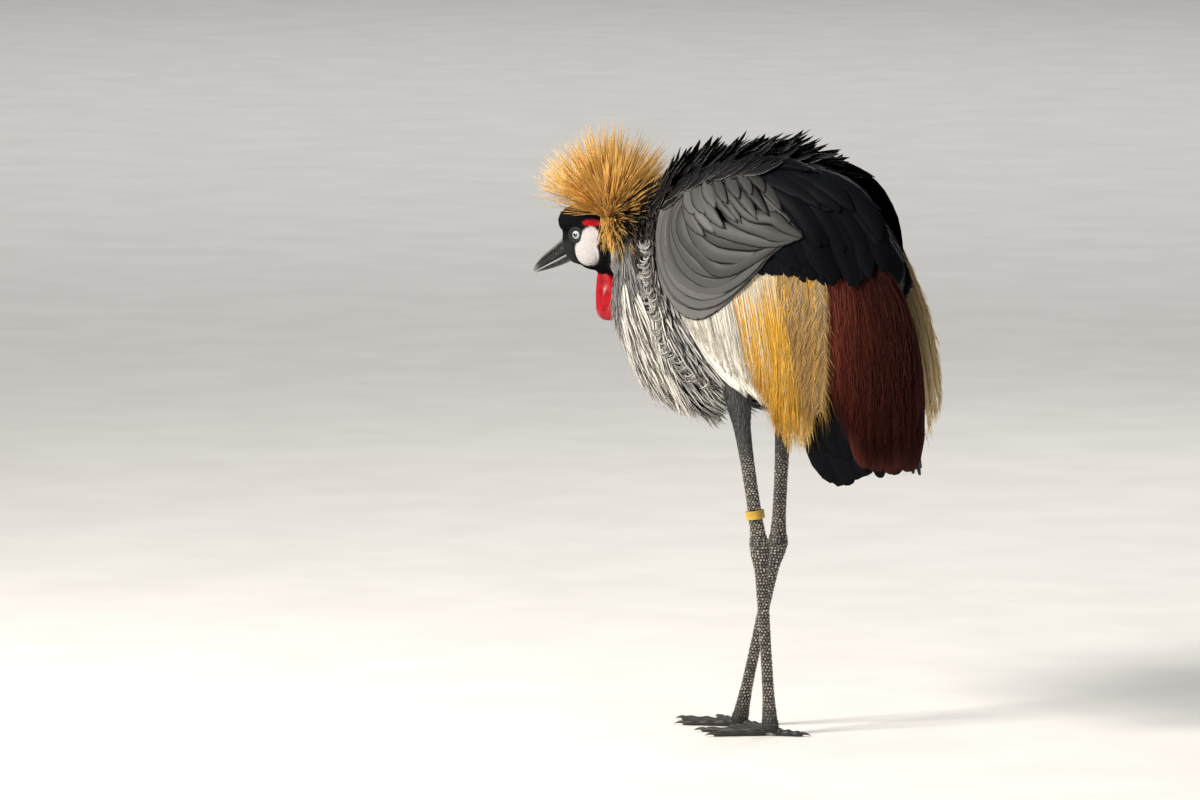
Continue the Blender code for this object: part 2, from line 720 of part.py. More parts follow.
def make_foot(side_name, top):
    """A hub with four toes, flat where they meet the floor."""
    _, _, (x, y, _), heading = LEGS[side_name]
    heights = (top, top / 2, BELOW_FLOOR * MM)
    frames = []
    for height, radius in zip(heights, HUB_RADII):
        frames.append(round_frame(Vector((x * MM, y * MM, height)), Vector((0, 0, -1)), radius))
    bm = bmesh.new()
    add_loft(bm, frames, LEG_SIDES)
    foot = new_object("foot_" + side_name, bm, LEG_SCALE)
    toes = []
    for bearing, length in TOES:
        angle = math.radians(bearing + heading)
        ahead = Vector((-math.cos(angle), math.sin(angle), 0)) * length
        points = []
        for step, radius in enumerate(TOE_RADII):
            points.append((Vector((x, y, radius * TOE_HEIGHT)) + ahead * step / len(TOE_RADII)) * MM)
        tip = (Vector((x, y, CLAW_TIP_HEIGHT)) + ahead) * MM
        bm = bmesh.new()
        add_run(bm, points, TOE_RADII, TOE_SIDES, tip)
        toes.append(new_object("toe", bm))
    combine(foot, toes, "UNION")
    under_floor = block("under_floor", (-HALF_ROOM, -HALF_ROOM, -HALF_ROOM), (HALF_ROOM, HALF_ROOM, 0))
    combine(foot, [under_floor], "DIFFERENCE")


def make_band(tibia):
    """The plain yellow ring round the left leg."""
    hip, ankle = (Vector(place) * MM for place in LEGS["left"][:2])
    axis = (ankle - hip).normalized()
    middle = hip.lerp(ankle, (hip.z - BAND_MIDDLE * MM) / (hip.z - ankle.z))
    half = axis * BAND_HEIGHT / 2 * MM
    bm = bmesh.new()
    add_run(bm, [middle - half, middle + half], [BAND_RADIUS, BAND_RADIUS], 16)
    band = new_object("band_left", bm, BAND_YELLOW)
    combine(band, [swollen(tibia)], "DIFFERENCE")


def stand_on_origin():
    """Move everything so that the origin lies on the floor under the bird's middle."""
    corners = [Vector(corner) for obj in bpy.data.objects for corner in obj.bound_box]
    low = Vector(min(corner[axis] for corner in corners) for axis in range(3))
    high = Vector(max(corner[axis] for corner in corners) for axis in range(3))
    shift = -Vector(((low.x + high.x) / 2, (low.y + high.y) / 2, low.z))
    for obj in bpy.data.objects:
        obj.data.transform(Matrix.Translation(shift))
    return shift


def main():
    """Build every node, each later one cut clear of those it meets."""
    clear_scene()
    torso = ring_loft("torso", BODY_RINGS, 22, SLATE, tip=RUMP)
    skin = swollen(torso, 0)
    neck = make_neck(skin)
    head = make_head()
    eyes = make_eyes(head)
    bill = make_bill(head)
    make_wattle(head, neck)
    wings = [make_wing(-1, "wing_left", skin), make_wing(1, "wing_right", skin)]
    make_tail(skin)
    tibias = [make_leg(side_name, skin) for side_name in LEGS]
    make_band(tibias[0])
    rng = random.Random(3)
    combine(torso, mantle_vanes(torso, rng) + flank_vanes(torso, rng), "UNION")
    make_crest(head, [head, neck, torso, *bill, *eyes, *wings])
    bpy.data.objects.remove(skin, do_unlink=True)
    bpy.context.view_layer.update()
    return stand_on_origin()


bird_offset = main()
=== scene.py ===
"""Grey crowned crane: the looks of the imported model.

The bird is drawn in its own frame in millimetres: it faces -X, its left side is -Y, +Z is
up, the mid-plane is y = 0 and the floor is z = 0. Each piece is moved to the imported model's
frame when its mesh is made.
"""

from __future__ import annotations

import logging
import math
from collections.abc import Callable, Iterable
from dataclasses import dataclass, field, replace
from enum import Enum
from functools import cached_property

import bmesh
import bpy
import numpy as np
from mathutils import Matrix, Vector
from mathutils.bvhtree import BVHTree


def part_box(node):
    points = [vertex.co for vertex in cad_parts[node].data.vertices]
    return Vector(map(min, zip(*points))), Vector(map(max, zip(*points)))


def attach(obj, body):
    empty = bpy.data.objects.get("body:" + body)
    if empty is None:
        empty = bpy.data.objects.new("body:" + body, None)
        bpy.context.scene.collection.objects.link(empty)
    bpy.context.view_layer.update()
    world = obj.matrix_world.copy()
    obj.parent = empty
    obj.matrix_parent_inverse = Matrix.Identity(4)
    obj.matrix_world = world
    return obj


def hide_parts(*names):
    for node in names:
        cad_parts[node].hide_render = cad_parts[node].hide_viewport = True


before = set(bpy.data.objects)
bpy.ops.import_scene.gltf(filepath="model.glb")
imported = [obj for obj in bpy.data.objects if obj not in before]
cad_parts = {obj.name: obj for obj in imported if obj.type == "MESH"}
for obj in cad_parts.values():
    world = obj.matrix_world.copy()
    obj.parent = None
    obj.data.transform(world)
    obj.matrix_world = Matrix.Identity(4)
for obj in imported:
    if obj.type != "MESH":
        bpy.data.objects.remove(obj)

LOG = logging.getLogger("crane")
Array = np.ndarray
Span = tuple[float, float]
Place = tuple[float, float]
Colour = tuple[float, float, float]
Shape = Callable[[Array, Array], Array]

MM = 0.001
# Middle of each eye: x, distance from the mid-plane, and height
EYE = (-241.0, 14.6, 575.0)
VANE_MAP = "Vane"
BAKE_MAP = "OFBake"
TINT = "tint"
BAKE_CELLS = 300
BAKE_PATCH = 0.003
MOST_TRIANGLES = 190_000
LEAST_IN_PIECE = 50
# Where the rear part of a wing begins, in x
REAR = 120.0
# Steps of a sequence that fills a square evenly
EVEN_STEPS = (0.7548776662466927, 0.5698402909980532)
# How far the side to side bend of a feather turns over its length, in radians
WAVE_TURN = 7.5
SEED = 7


class Side(Enum):
    """Left or right of the bird, as the sign of y."""

    LEFT = -1
    RIGHT = 1

    @property
    def word(self) -> str:
        """The side's name in piece names."""
        return self.name.lower()


def scene_offset() -> Array:
    """Where the bird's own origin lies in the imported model's frame, in metres."""
    corners = [np.array(corner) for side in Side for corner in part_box("eye_" + side.word)]
    middle = sum(corners) / len(corners)
    return middle - np.array([EYE[0], 0.0, EYE[2]]) * MM


OFFSET = scene_offset()


def to_scene(points: Array) -> Array:
    """Millimetres in the bird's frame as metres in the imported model's frame."""
    return np.asarray(points, float) * MM + OFFSET


def unit(vectors: Array) -> Array:
    """The vectors at length one."""
    return vectors / np.maximum(np.linalg.norm(vectors, axis=-1, keepdims=True), 1e-9)


def lie(angles: Array) -> Array:
    """Directions in the side view: 0 degrees is rearward and -90 is down."""
    turned = np.radians(np.asarray(angles, float))
    return np.stack([np.cos(turned), np.zeros_like(turned), np.sin(turned)], axis=-1)


def spread(count: int, first: Span, second: Span) -> tuple[Array, Array]:
    """Pairs of values spread evenly over two spans.

    Args:
        count: How many pairs.
        first: Lowest and highest first value.
        second: Lowest and highest second value.

    Returns:
        The first values and the second values.
    """
    steps = np.arange(1, count + 1)
    one, two = (np.mod(0.5 + steps * step, 1.0) for step in EVEN_STEPS)
    return first[0] + (first[1] - first[0]) * one, second[0] + (second[1] - second[0]) * two


def smooth_step(values: Array, start: float, end: float) -> Array:
    """0 before `start`, 1 after `end`, with a soft change between."""
    share = np.clip((values - start) / (end - start), 0.0, 1.0)
    return share * share * (3 - 2 * share)


def between(one: Array | Colour, two: Array | Colour, share: Array) -> Array:
    """Colours or places part of the way from one to another."""
    return np.array(one) * (1 - share) + np.array(two) * share


def smooth_rows(table: Array, places: Array) -> Array:
    """Read a table between its rows along a smooth curve.

    Args:
        table: One row for each station.
        places: Row numbers, which may be fractions.

    Returns:
        One row for each place.
    """
    last = len(table) - 1
    row = np.clip(np.floor(places).astype(int), 0, last - 1)
    part = (places - row)[..., None]
    before, near = table[np.clip(row - 1, 0, last)], table[row]
    far, after = table[row + 1], table[np.clip(row + 2, 0, last)]
    bend = (2 * before - 5 * near + 4 * far - after) * part
    turn = (3 * near - before - 3 * far + after) * part * part
    return near + 0.5 * part * ((far - before) + bend + turn)


@dataclass(frozen=True)
class RingPath:
    """A body form drawn as ovals across the mid-plane, joined by a smooth curve.

    Each ring holds its lower and upper point (x, z), its half width and how far its middle
    lies from the mid-plane.
    """

    rings: tuple[tuple[Place, Place, float, float], ...]
    side: int = 1

    @property
    def last(self) -> int:
        """The number of the last ring."""
        return len(self.rings) - 1

    def surface(self, places: Array, bearings: Array, inset: float = 0.0) -> Array:
        """Points on the form.

        Args:
            places: Ring numbers, which may be fractions.
            bearings: Angles round the form, 0 at the upper point, in radians.
            inset: How far inside the form's surface.

        Returns:
            The points in millimetres.
        """
        table = np.array([[*low, *high, half, out] for low, high, half, out in self.rings])
        low_x, low_z, high_x, high_z, half, out = np.moveaxis(smooth_rows(table, places), -1, 0)
        rise = np.hypot(high_x - low_x, high_z - low_z) / 2
        kept = np.maximum(rise - inset, rise * 0.3) / np.maximum(rise, 1e-6) * np.cos(bearings)
        across = np.maximum(half - inset, half * 0.3) * np.sin(bearings)
        x = (low_x + high_x) / 2 + (high_x - low_x) / 2 * kept
        z = (low_z + high_z) / 2 + (high_z - low_z) / 2 * kept
        return np.stack([x, self.side * out + across, z], axis=-1)


def rod(sides: int, rows: int, pointed: bool) -> bmesh.types.BMesh:
    """A closed rod from z = 0 to z = 1 of radius one, cut into rows.

    Args:
        sides: Sides of its section.
        rows: Rows along it.
        pointed: Whether its far end is drawn into one point.

    Returns:
        The mesh, for its corners to be moved.
    """
    bm = bmesh.new()
    upright = Matrix.Translation((0, 0, 0.5))
    bmesh.ops.create_cone(
        bm, cap_ends=True, segments=sides, radius1=1, radius2=1, depth=1, matrix=upright
    )
    if rows > 1:
        runs = [edge for edge in bm.edges if abs(edge.verts[0].co.z - edge.verts[1].co.z) > 0.5]
        bmesh.ops.subdivide_edges(bm, edges=runs, cuts=rows - 1)
    if pointed:
        end = [vert for vert in bm.verts if vert.co.z > 1 - 1e-4]
        bmesh.ops.pointmerge(bm, verts=end, merge_co=Vector((0, 0, 1)))
    return bm


def bm_points(bm: bmesh.types.BMesh) -> Array:
    """The corners of a bmesh as an array."""
    bm.verts.ensure_lookup_table()
    return np.array([vert.co[:] for vert in bm.verts])


def set_points(bm: bmesh.types.BMesh, points: Array) -> None:
    """Move the corners of a bmesh to points."""
    for vert, point in zip(bm.verts, points):
        vert.co = point


def add_tint(mesh: bpy.types.Mesh, tint: Array) -> None:
    """Give each corner of a mesh its colour."""
    colours = np.ones((len(mesh.vertices), 4), np.float32)
    colours[:, : tint.shape[1]] = tint
    layer = mesh.attributes.new(TINT, "FLOAT_COLOR", "POINT")
    layer.data.foreach_set("color", colours.ravel())


def add_map(mesh: bpy.types.Mesh, name: str, corners: Array) -> None:
    """Give a mesh a UV map that has one place for each of its corners."""
    index = np.empty(len(mesh.loops), np.int32)
    mesh.loops.foreach_get("vertex_index", index)
    layer = mesh.uv_layers.new(name=name)
    layer.uv.foreach_set("vector", corners[index].astype(np.float32).ravel())


def linked(name: str, data: bpy.types.ID) -> bpy.types.Object:
    """A new object in the scene that shows a mesh, a light or a camera."""
    item = bpy.data.objects.new(name, data)
    bpy.context.scene.collection.objects.link(item)
    return item


def closed_piece(
    name: str,
    bm: bmesh.types.BMesh,
    material: bpy.types.Material,
    tint: Array | None = None,
    surface: Array | None = None,
) -> bpy.types.Object:
    """Turn a closed bmesh in the bird's millimetres into a smooth piece of the model.

    Args:
        name: The piece's name.
        bm: The mesh, which is used up.
        material: Its finish.
        tint: Colour for each corner, if the finish reads one.
        surface: Place on the pattern map for each corner, if the finish reads one.

    Returns:
        The new object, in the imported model's frame.
    """
    bmesh.ops.recalc_face_normals(bm, faces=bm.faces)
    set_points(bm, to_scene(bm_points(bm)))
    mesh = bpy.data.meshes.new(name)
    bm.to_mesh(mesh)
    bm.free()
    mesh.polygons.foreach_set("use_smooth", [True] * len(mesh.polygons))
    mesh.materials.append(material)
    if tint is not None:
        add_tint(mesh, tint)
    if surface is not None:
        add_map(mesh, VANE_MAP, surface)
    return linked(name, mesh)


def wrapped(
    sides: int, rows: int, shape: Shape, pointed: bool = False
) -> tuple[bmesh.types.BMesh, Array]:
    """Wrap a rod over a shape.

    Args:
        sides: Sides round the rod.
        rows: Rows along it.
        shape: Gives the points for shares along the rod and bearings round it.
        pointed: Whether the far end is one point.

    Returns:
        The mesh, and each corner's bearing in turns and share along the rod.
    """
    bm = rod(sides, rows, pointed)
    raw = bm_points(bm)
    bearing = np.arctan2(raw[:, 0], raw[:, 1])
    share = np.clip(raw[:, 2], 0.0, 1.0)
    set_points(bm, shape(share, bearing))
    return bm, np.stack([bearing / (2 * np.pi) + 0.5, share], axis=-1)


def put_in(piece: bpy.types.Object, nodes: Iterable[str] = ()) -> None:
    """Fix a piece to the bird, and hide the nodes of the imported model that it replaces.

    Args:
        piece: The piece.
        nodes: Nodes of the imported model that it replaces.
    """
    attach(piece, "root")
    if nodes:
        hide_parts(*nodes)
    LOG.info("%s: %d faces", piece.name, len(piece.data.polygons))


# Finishes


class Bench:
    """Shorthand for drawing one material's nodes."""

    def __init__(self, name: str) -> None:
        """Start a material of this name with an empty shader."""
        self.material = bpy.data.materials.new(name)
        self.material.use_nodes = True
        self.tree = self.material.node_tree
        self.shader = self.tree.nodes["Principled BSDF"]

    def add(self, kind: str, **values: object) -> bpy.types.Node:
        """Add a node and set its own properties."""
        node = self.tree.nodes.new(kind)
        for key, value in values.items():
            setattr(node, key, value)
        return node

    def feed(self, socket: bpy.types.NodeSocket, source: object) -> None:
        """Link a socket to another, or set its value."""
        if isinstance(source, bpy.types.NodeSocket):
            self.tree.links.new(source, socket)
        elif isinstance(source, tuple) and len(source) == 3 and socket.type == "RGBA":
            socket.default_value = (*source, 1.0)
        else:
            socket.default_value = source

    def math(self, operation: str, *sources: object) -> bpy.types.NodeSocket:
        """The result of one sum."""
        node = self.add("ShaderNodeMath", operation=operation)
        for socket, source in zip(node.inputs, sources):
            self.feed(socket, source)
        return node.outputs[0]

    def soft(
        self, value: object, start: float, end: float, low: float = 0.0, high: float = 1.0
    ) -> bpy.types.NodeSocket:
        """A soft change from `low` to `high` while the value goes from `start` to `end`."""
        node = self.add("ShaderNodeMapRange", interpolation_type="SMOOTHSTEP")
        sources = (value, start, end, low, high)
        for key, source in zip(("Value", "From Min", "From Max", "To Min", "To Max"), sources):
            self.feed(node.inputs[key], source)
        return node.outputs["Result"]

    def mix(self, share: object, one: object, two: object, way: str = "MIX") -> bpy.types.NodeSocket:
        """Two colours mixed."""
        node = self.add("ShaderNodeMix", data_type="RGBA", blend_type=way)
        colours = [socket for socket in node.inputs if socket.type == "RGBA"]
        self.feed(node.inputs[0], share)
        self.feed(colours[0], one)
        self.feed(colours[1], two)
        return next(socket for socket in node.outputs if socket.type == "RGBA")

    def split(self, vector: bpy.types.NodeSocket) -> bpy.types.NodeOutputs:
        """The three parts of a vector."""
        node = self.add("ShaderNodeSeparateXYZ")
        self.feed(node.inputs[0], vector)
        return node.outputs

    def join(self, *parts: object) -> bpy.types.NodeSocket:
        """A vector from its parts."""
        node = self.add("ShaderNodeCombineXYZ")
        for socket, part in zip(node.inputs, parts):
            self.feed(socket, part)
        return node.outputs[0]

    def shaded(self, colour: object, shade: bpy.types.NodeSocket) -> bpy.types.NodeSocket:
        """A colour times a grey."""
        return self.mix(1.0, colour, self.join(shade, shade, shade), "MULTIPLY")

    def noise(self, vector: object, scale: float, detail: float = 2.0) -> bpy.types.NodeSocket:
        """A soft random pattern."""
        node = self.add("ShaderNodeTexNoise")
        self.feed(node.inputs["Vector"], vector)
        self.feed(node.inputs["Scale"], scale)
        self.feed(node.inputs["Detail"], detail)
        return node.outputs[0]

    def cells(self, vector: object, scale: float) -> bpy.types.NodeSocket:
        """Distance to the borders of a cell pattern."""
        node = self.add("ShaderNodeTexVoronoi", feature="DISTANCE_TO_EDGE")
        self.feed(node.inputs["Vector"], vector)
        self.feed(node.inputs["Scale"], scale)
        return node.outputs[0]

    def object_place(self) -> bpy.types.NodeSocket:
        """The place on the piece, in metres."""
        return self.add("ShaderNodeTexCoord").outputs["Object"]

    def map_place(self) -> bpy.types.NodeOutputs:
        """The two parts of the place on the pattern map."""
        return self.split(self.add("ShaderNodeUVMap", uv_map=VANE_MAP).outputs[0])

    def tint(self) -> bpy.types.Node:
        """The node that reads each corner's colour."""
        return self.add("ShaderNodeAttribute", attribute_name=TINT)

    def bump(self, height: bpy.types.NodeSocket, strength: float, depth: float) -> None:
        """Raise the surface by a pattern."""
        node = self.add("ShaderNodeBump")
        node.inputs["Strength"].default_value = strength
        node.inputs["Distance"].default_value = depth
        self.feed(node.inputs["Height"], height)
        self.feed(self.shader.inputs["Normal"], node.outputs[0])

    def surface(self, colour: object, roughness: object, **constants: float) -> bpy.types.Material:
        """Set the shader's colour, roughness and fixed values, and give the material."""
        self.feed(self.shader.inputs["Base Color"], colour)
        self.feed(self.shader.inputs["Roughness"], roughness)
        for key, value in constants.items():
            self.shader.inputs[key.replace("_", " ")].default_value = value
        return self.material


@dataclass(frozen=True)
class PlumeFinish:
    """How a feather's own colour changes over its vane.

    The colour at its edge, tip, root and shaft is mixed in by the amounts, and barb lines
    run out from the shaft.
    """

    name: str
    edge: Colour = (1.0, 1.0, 1.0)
    edge_amount: float = 0.0
    edge_start: float = 0.7
    tip: Colour = (1.0, 1.0, 1.0)
    tip_amount: float = 0.0
    tip_start: float = 0.6
    root: Colour = (0.0, 0.0, 0.0)
    root_amount: float = 0.0
    root_end: float = 0.4
    shaft: Colour = (0.0, 0.0, 0.0)
    shaft_amount: float = 0.0
    barbs: float = 90.0
    slant: float = 14.0
    barb_depth: float = 0.35
    bump: float = 0.35
    roughness: float = 0.6
    sheen: float = 0.0
    gloss: float = 0.5

    def material(self) -> bpy.types.Material:
        """Draw the material."""
        bench = Bench(self.name)
        across, along, _ = bench.map_place()
        out = bench.math("ABSOLUTE", bench.math("MULTIPLY_ADD", across, 2.0, -1.0))
        tint = bench.tint()
        tone = tint.outputs["Alpha"]
        run = bench.math("MULTIPLY", along, self.barbs)
        run = bench.math("SUBTRACT", run, bench.math("MULTIPLY", out, self.slant))
        lines = bench.noise(bench.join(run, across, bench.math("MULTIPLY", tone, 37.0)), 1.0)
        colour = tint.outputs["Color"]
        edge = bench.soft(out, self.edge_start, 1.0, 0.0, self.edge_amount)
        colour = bench.mix(edge, colour, self.edge)
        tip = bench.soft(along, self.tip_start, 1.0, 0.0, self.tip_amount)
        colour = bench.mix(tip, colour, self.tip)
        root = bench.soft(along, 0.0, self.root_end, self.root_amount, 0.0)
        colour = bench.mix(root, colour, self.root)
        shaft = bench.soft(out, 0.03, 0.14, self.shaft_amount, 0.0)
        colour = bench.mix(shaft, colour, self.shaft)
        shade = bench.soft(lines, 0.3, 0.7, 1.0 - self.barb_depth, 1.0 + self.barb_depth * 0.4)
        shade = bench.math("MULTIPLY", shade, bench.soft(tone, 0.0, 1.0, 0.85, 1.12))
        colour = bench.shaded(colour, shade)
        bench.bump(lines, self.bump, 0.0006)
        return bench.surface(
            colour, self.roughness, Sheen_Weight=self.sheen, Specular_IOR_Level=self.gloss
        )


@dataclass(frozen=True)
class SkinFinish:
    """Bare or short-feathered skin, with its colour read from the skin's markings."""

    name: str
    scale: float = 900.0
    roughness: float = 0.8
    sheen: float = 0.0
    gloss: float = 0.05

    def material(self) -> bpy.types.Material:
        """Draw the material."""
        bench = Bench(self.name)
        place = bench.object_place()
        grain = bench.noise(place, self.scale, 3.0)
        shade = bench.soft(grain, 0.25, 0.75, 0.75, 1.12)
        colour = bench.shaded(bench.tint().outputs["Color"], shade)
        bench.bump(grain, 0.4, 0.0005)
        return bench.surface(
            colour, self.roughness, Sheen_Weight=self.sheen, Specular_IOR_Level=self.gloss
        )


@dataclass(frozen=True)
class HornFinish:
    """Bill or claw: dark horn with a painted highlight along its ridge, paler worn spots and a paler tip,
    with fine lengthwise lines.
    """

    name: str
    dark: Colour
    pale: Colour
    # How much of the pale colour is painted along the top as a highlight
    highlight_and_wear: float
    roughness: float = 0.34

    def material(self) -> bpy.types.Material:
        """Draw the material."""
        bench = Bench(self.name)
        around, along, _ = bench.map_place()
        place = bench.object_place()
        from_top = bench.math("ABSOLUTE", bench.math("SUBTRACT", around, 0.5))
        worn = bench.noise(place, 160.0, 3.0)
        lines = bench.noise(bench.join(bench.math("MULTIPLY", around, 40.0), along, 0.0), 3.0, 3.0)
        # Painted highlight along the top, paler worn spots from the noise, and paler towards the tip
        highlight_and_wear = bench.soft(from_top, 0.02, 0.22, self.highlight_and_wear, 0.0)
        highlight_and_wear = bench.math("ADD", highlight_and_wear, bench.soft(worn, 0.5, 0.8, 0.0, 0.1))
        highlight_and_wear = bench.math("ADD", highlight_and_wear, bench.soft(along, 0.7, 1.0, 0.0, 0.4))
        colour = bench.mix(bench.math("MINIMUM", highlight_and_wear, 1.0), self.dark, self.pale)
        bench.bump(lines, 0.12, 0.0003)
        rough = bench.soft(worn, 0.3, 0.7, self.roughness, self.roughness + 0.1)
        return bench.surface(colour, rough, Specular_IOR_Level=0.3)


@dataclass(frozen=True)
class WattleFinish:
    """Bare crimson skin, finely pitted and a little moist."""

    name: str = "wattle_crimson"
    deep: Colour = (0.22, 0.0008, 0.0060)
    bright: Colour = (0.50, 0.0030, 0.0140)

    def material(self) -> bpy.types.Material:
        """Draw the material."""
        bench = Bench(self.name)
        place = bench.object_place()
        pits = bench.cells(place, 900.0)
        cloud = bench.noise(place, 90.0, 4.0)
        colour = bench.mix(bench.soft(cloud, 0.3, 0.7), self.deep, self.bright)
        colour = bench.mix(bench.soft(pits, 0.0, 0.12, 0.35, 0.0), colour, self.deep)
        bench.bump(bench.math("ADD", pits, bench.math("MULTIPLY", cloud, 0.6)), 0.35, 0.0006)
        bench.shader.inputs["Subsurface Radius"].default_value = (0.004, 0.001, 0.0008)
        return bench.surface(
            colour, 0.32, Specular_IOR_Level=0.25, Subsurface_Weight=0.1, Coat_Weight=0.1,
            Coat_Roughness=0.15,
        )


@dataclass(frozen=True)
class ScaleFinish:
    """Horny scales with pale worn crowns and dark skin between them."""

    name: str
    dark: Colour
    crown: Colour
    roughness: float = 0.5

    def material(self) -> bpy.types.Material:
        """Draw the material."""
        bench = Bench(self.name)
        place = bench.object_place()
        _, height, _ = bench.map_place()
        worn = bench.noise(place, 320.0, 4.0)
        fine = bench.noise(place, 1500.0, 2.0)
        crown = bench.soft(height, 0.05, 0.7)
        crown = bench.math("MULTIPLY", crown, bench.soft(worn, 0.4, 0.6, 0.2, 1.0))
        low = bench.soft(bench.split(place)[2], 0.008, 0.045, 0.12, 1.0)
        crown = bench.math("MULTIPLY", crown, low)
        colour = bench.mix(crown, self.dark, self.crown)
        shade = bench.soft(fine, 0.3, 0.7, 0.8, 1.1)
        colour = bench.shaded(colour, shade)
        bench.bump(fine, 0.3, 0.0003)
        return bench.surface(colour, self.roughness)


@dataclass(frozen=True)
class EyeFinish:
    """The eye: dark pupil, pale iris with fine fibres, dark rim and a wet front."""

    name: str = "eye_iris"
    iris: Colour = (0.62, 0.70, 0.72)
    fibre: Colour = (0.32, 0.38, 0.42)
    dark: Colour = (0.006, 0.006, 0.008)
    iris_edge: float = 0.735
    pupil_edge: float = 0.885

    def material(self) -> bpy.types.Material:
        """Draw the material."""
        bench = Bench(self.name)
        around, along, _ = bench.map_place()
        turn = bench.math("MULTIPLY", around, 2 * math.pi)
        circle = bench.join(bench.math("COSINE", turn), bench.math("SINE", turn), along)
        fibres = bench.noise(circle, 9.0, 4.0)
        colour = bench.mix(bench.soft(fibres, 0.4, 0.65), self.iris, self.fibre)
        rim = bench.soft(along, self.iris_edge, self.iris_edge + 0.03, 1.0, 0.0)
        pupil = bench.soft(along, self.pupil_edge - 0.012, self.pupil_edge, 0.0, 1.0)
        colour = bench.mix(bench.math("MAXIMUM", rim, pupil), colour, self.dark)
        return bench.surface(colour, 0.08, Coat_Weight=1.0, Coat_Roughness=0.02)


@dataclass(frozen=True)
class BandFinish:
    """Moulded yellow ring, slightly scuffed."""

    name: str = "band_yellow"
    fresh: Colour = (0.64, 0.40, 0.030)
    worn: Colour = (0.44, 0.28, 0.045)

    def material(self) -> bpy.types.Material:
        """Draw the material."""
        bench = Bench(self.name)
        place = bench.object_place()
        scuffs = bench.noise(place, 420.0, 5.0)
        grime = bench.noise(place, 70.0, 3.0)
        colour = bench.mix(bench.soft(grime, 0.4, 0.75), self.fresh, self.worn)
        bench.bump(scuffs, 0.15, 0.0002)
        return bench.surface(colour, bench.soft(scuffs, 0.35, 0.7, 0.35, 0.6))


@dataclass(frozen=True)
class FloorFinish:
    """Plain pale studio floor with a barely visible mottle."""

    name: str = "studio_floor"
    pale: Colour = (0.93, 0.91, 0.88)
    deep: Colour = (0.88, 0.86, 0.83)

    def material(self) -> bpy.types.Material:
        """Draw the material."""
        bench = Bench(self.name)
        mottle = bench.noise(bench.object_place(), 6.0, 4.0)
        return bench.surface(bench.mix(bench.soft(mottle, 0.3, 0.7), self.pale, self.deep), 0.85)


# Feathers


@dataclass(frozen=True)
class VaneForm:
    """The shape of a feather before it is bent.

    The outline gives shares of the half width at shares of the length. `cup` is how far its
    edges drop, as a share of the width, and `fray` how unevenly its edge runs.
    """

    sides: int
    rows: int
    outline: tuple[Place, ...]
    thickness: float
    cup: float = 0.0
    fray: float = 0.0
    round_end: bool = False

    def template(self) -> tuple[Array, Array, Array]:
        """The unbent feather.

        Returns:
            Its corners as height, place across and share along, the shares of its
            stations, and its triangles.
        """
        bm = rod(self.sides, self.rows, pointed=True)
        bmesh.ops.triangulate(bm, faces=bm.faces)
        points = bm_points(bm)
        faces = np.array([[vert.index for vert in face.verts] for face in bm.faces])
        bm.free()
        if self.round_end:
            points[:, 2] = np.sin(points[:, 2] * np.pi / 2)
        stations = np.unique(np.round(points[:, 2], 5))
        return points, stations, faces


STRAND = VaneForm(3, 4, ((0, 0.8), (0.3, 1.0), (1, 0.25)), 0.9)
LONG_STRAND = VaneForm(3, 8, ((0, 0.7), (0.3, 1.0), (1, 0.2)), 0.8)
BRISTLE = VaneForm(3, 6, ((0, 1.0), (0.5, 0.8), (1, 0.3)), 1.0)
TUFT = VaneForm(3, 2, ((0, 0.8), (0.5, 1.0), (1, 0.3)), 0.7)
LANCE = VaneForm(4, 7, ((0, 0.3), (0.25, 0.9), (0.45, 1.0), (0.75, 0.62), (1, 0.05)), 0.7, 0.06, 0.05)
SPEAR = VaneForm(6, 9, ((0, 0.3), (0.25, 0.85), (0.5, 1.0), (0.78, 0.6), (1, 0.04)), 0.8, 0.10, 0.05)
BLADE = VaneForm(
    8, 12, ((0, 0.3), (0.2, 0.8), (0.5, 1.0), (0.85, 0.82), (1, 0.2)), 0.9, 0.10, 0.03, True
)
PADDLE = VaneForm(
    8, 14, ((0, 0.3), (0.2, 0.8), (0.5, 1.0), (0.86, 0.98), (0.96, 0.74), (1, 0.3)), 0.9, 0.08, 0.02, True
)
PETAL = VaneForm(
    8, 14, ((0, 0.3), (0.2, 0.8), (0.5, 1.0), (0.72, 0.86), (0.9, 0.45), (1, 0.04)), 0.8, 0.10, 0.015
)
LONG_PETAL = VaneForm(
    8, 24, ((0, 0.3), (0.15, 0.8), (0.45, 1.0), (0.75, 0.9), (0.92, 0.5), (1, 0.04)), 0.8, 0.10, 0.01
)
RIBBON = VaneForm(6, 10, ((0, 0.4), (0.2, 0.9), (0.6, 1.0), (0.9, 0.5), (1, 0.1)), 0.7, 0.12, 0.08)


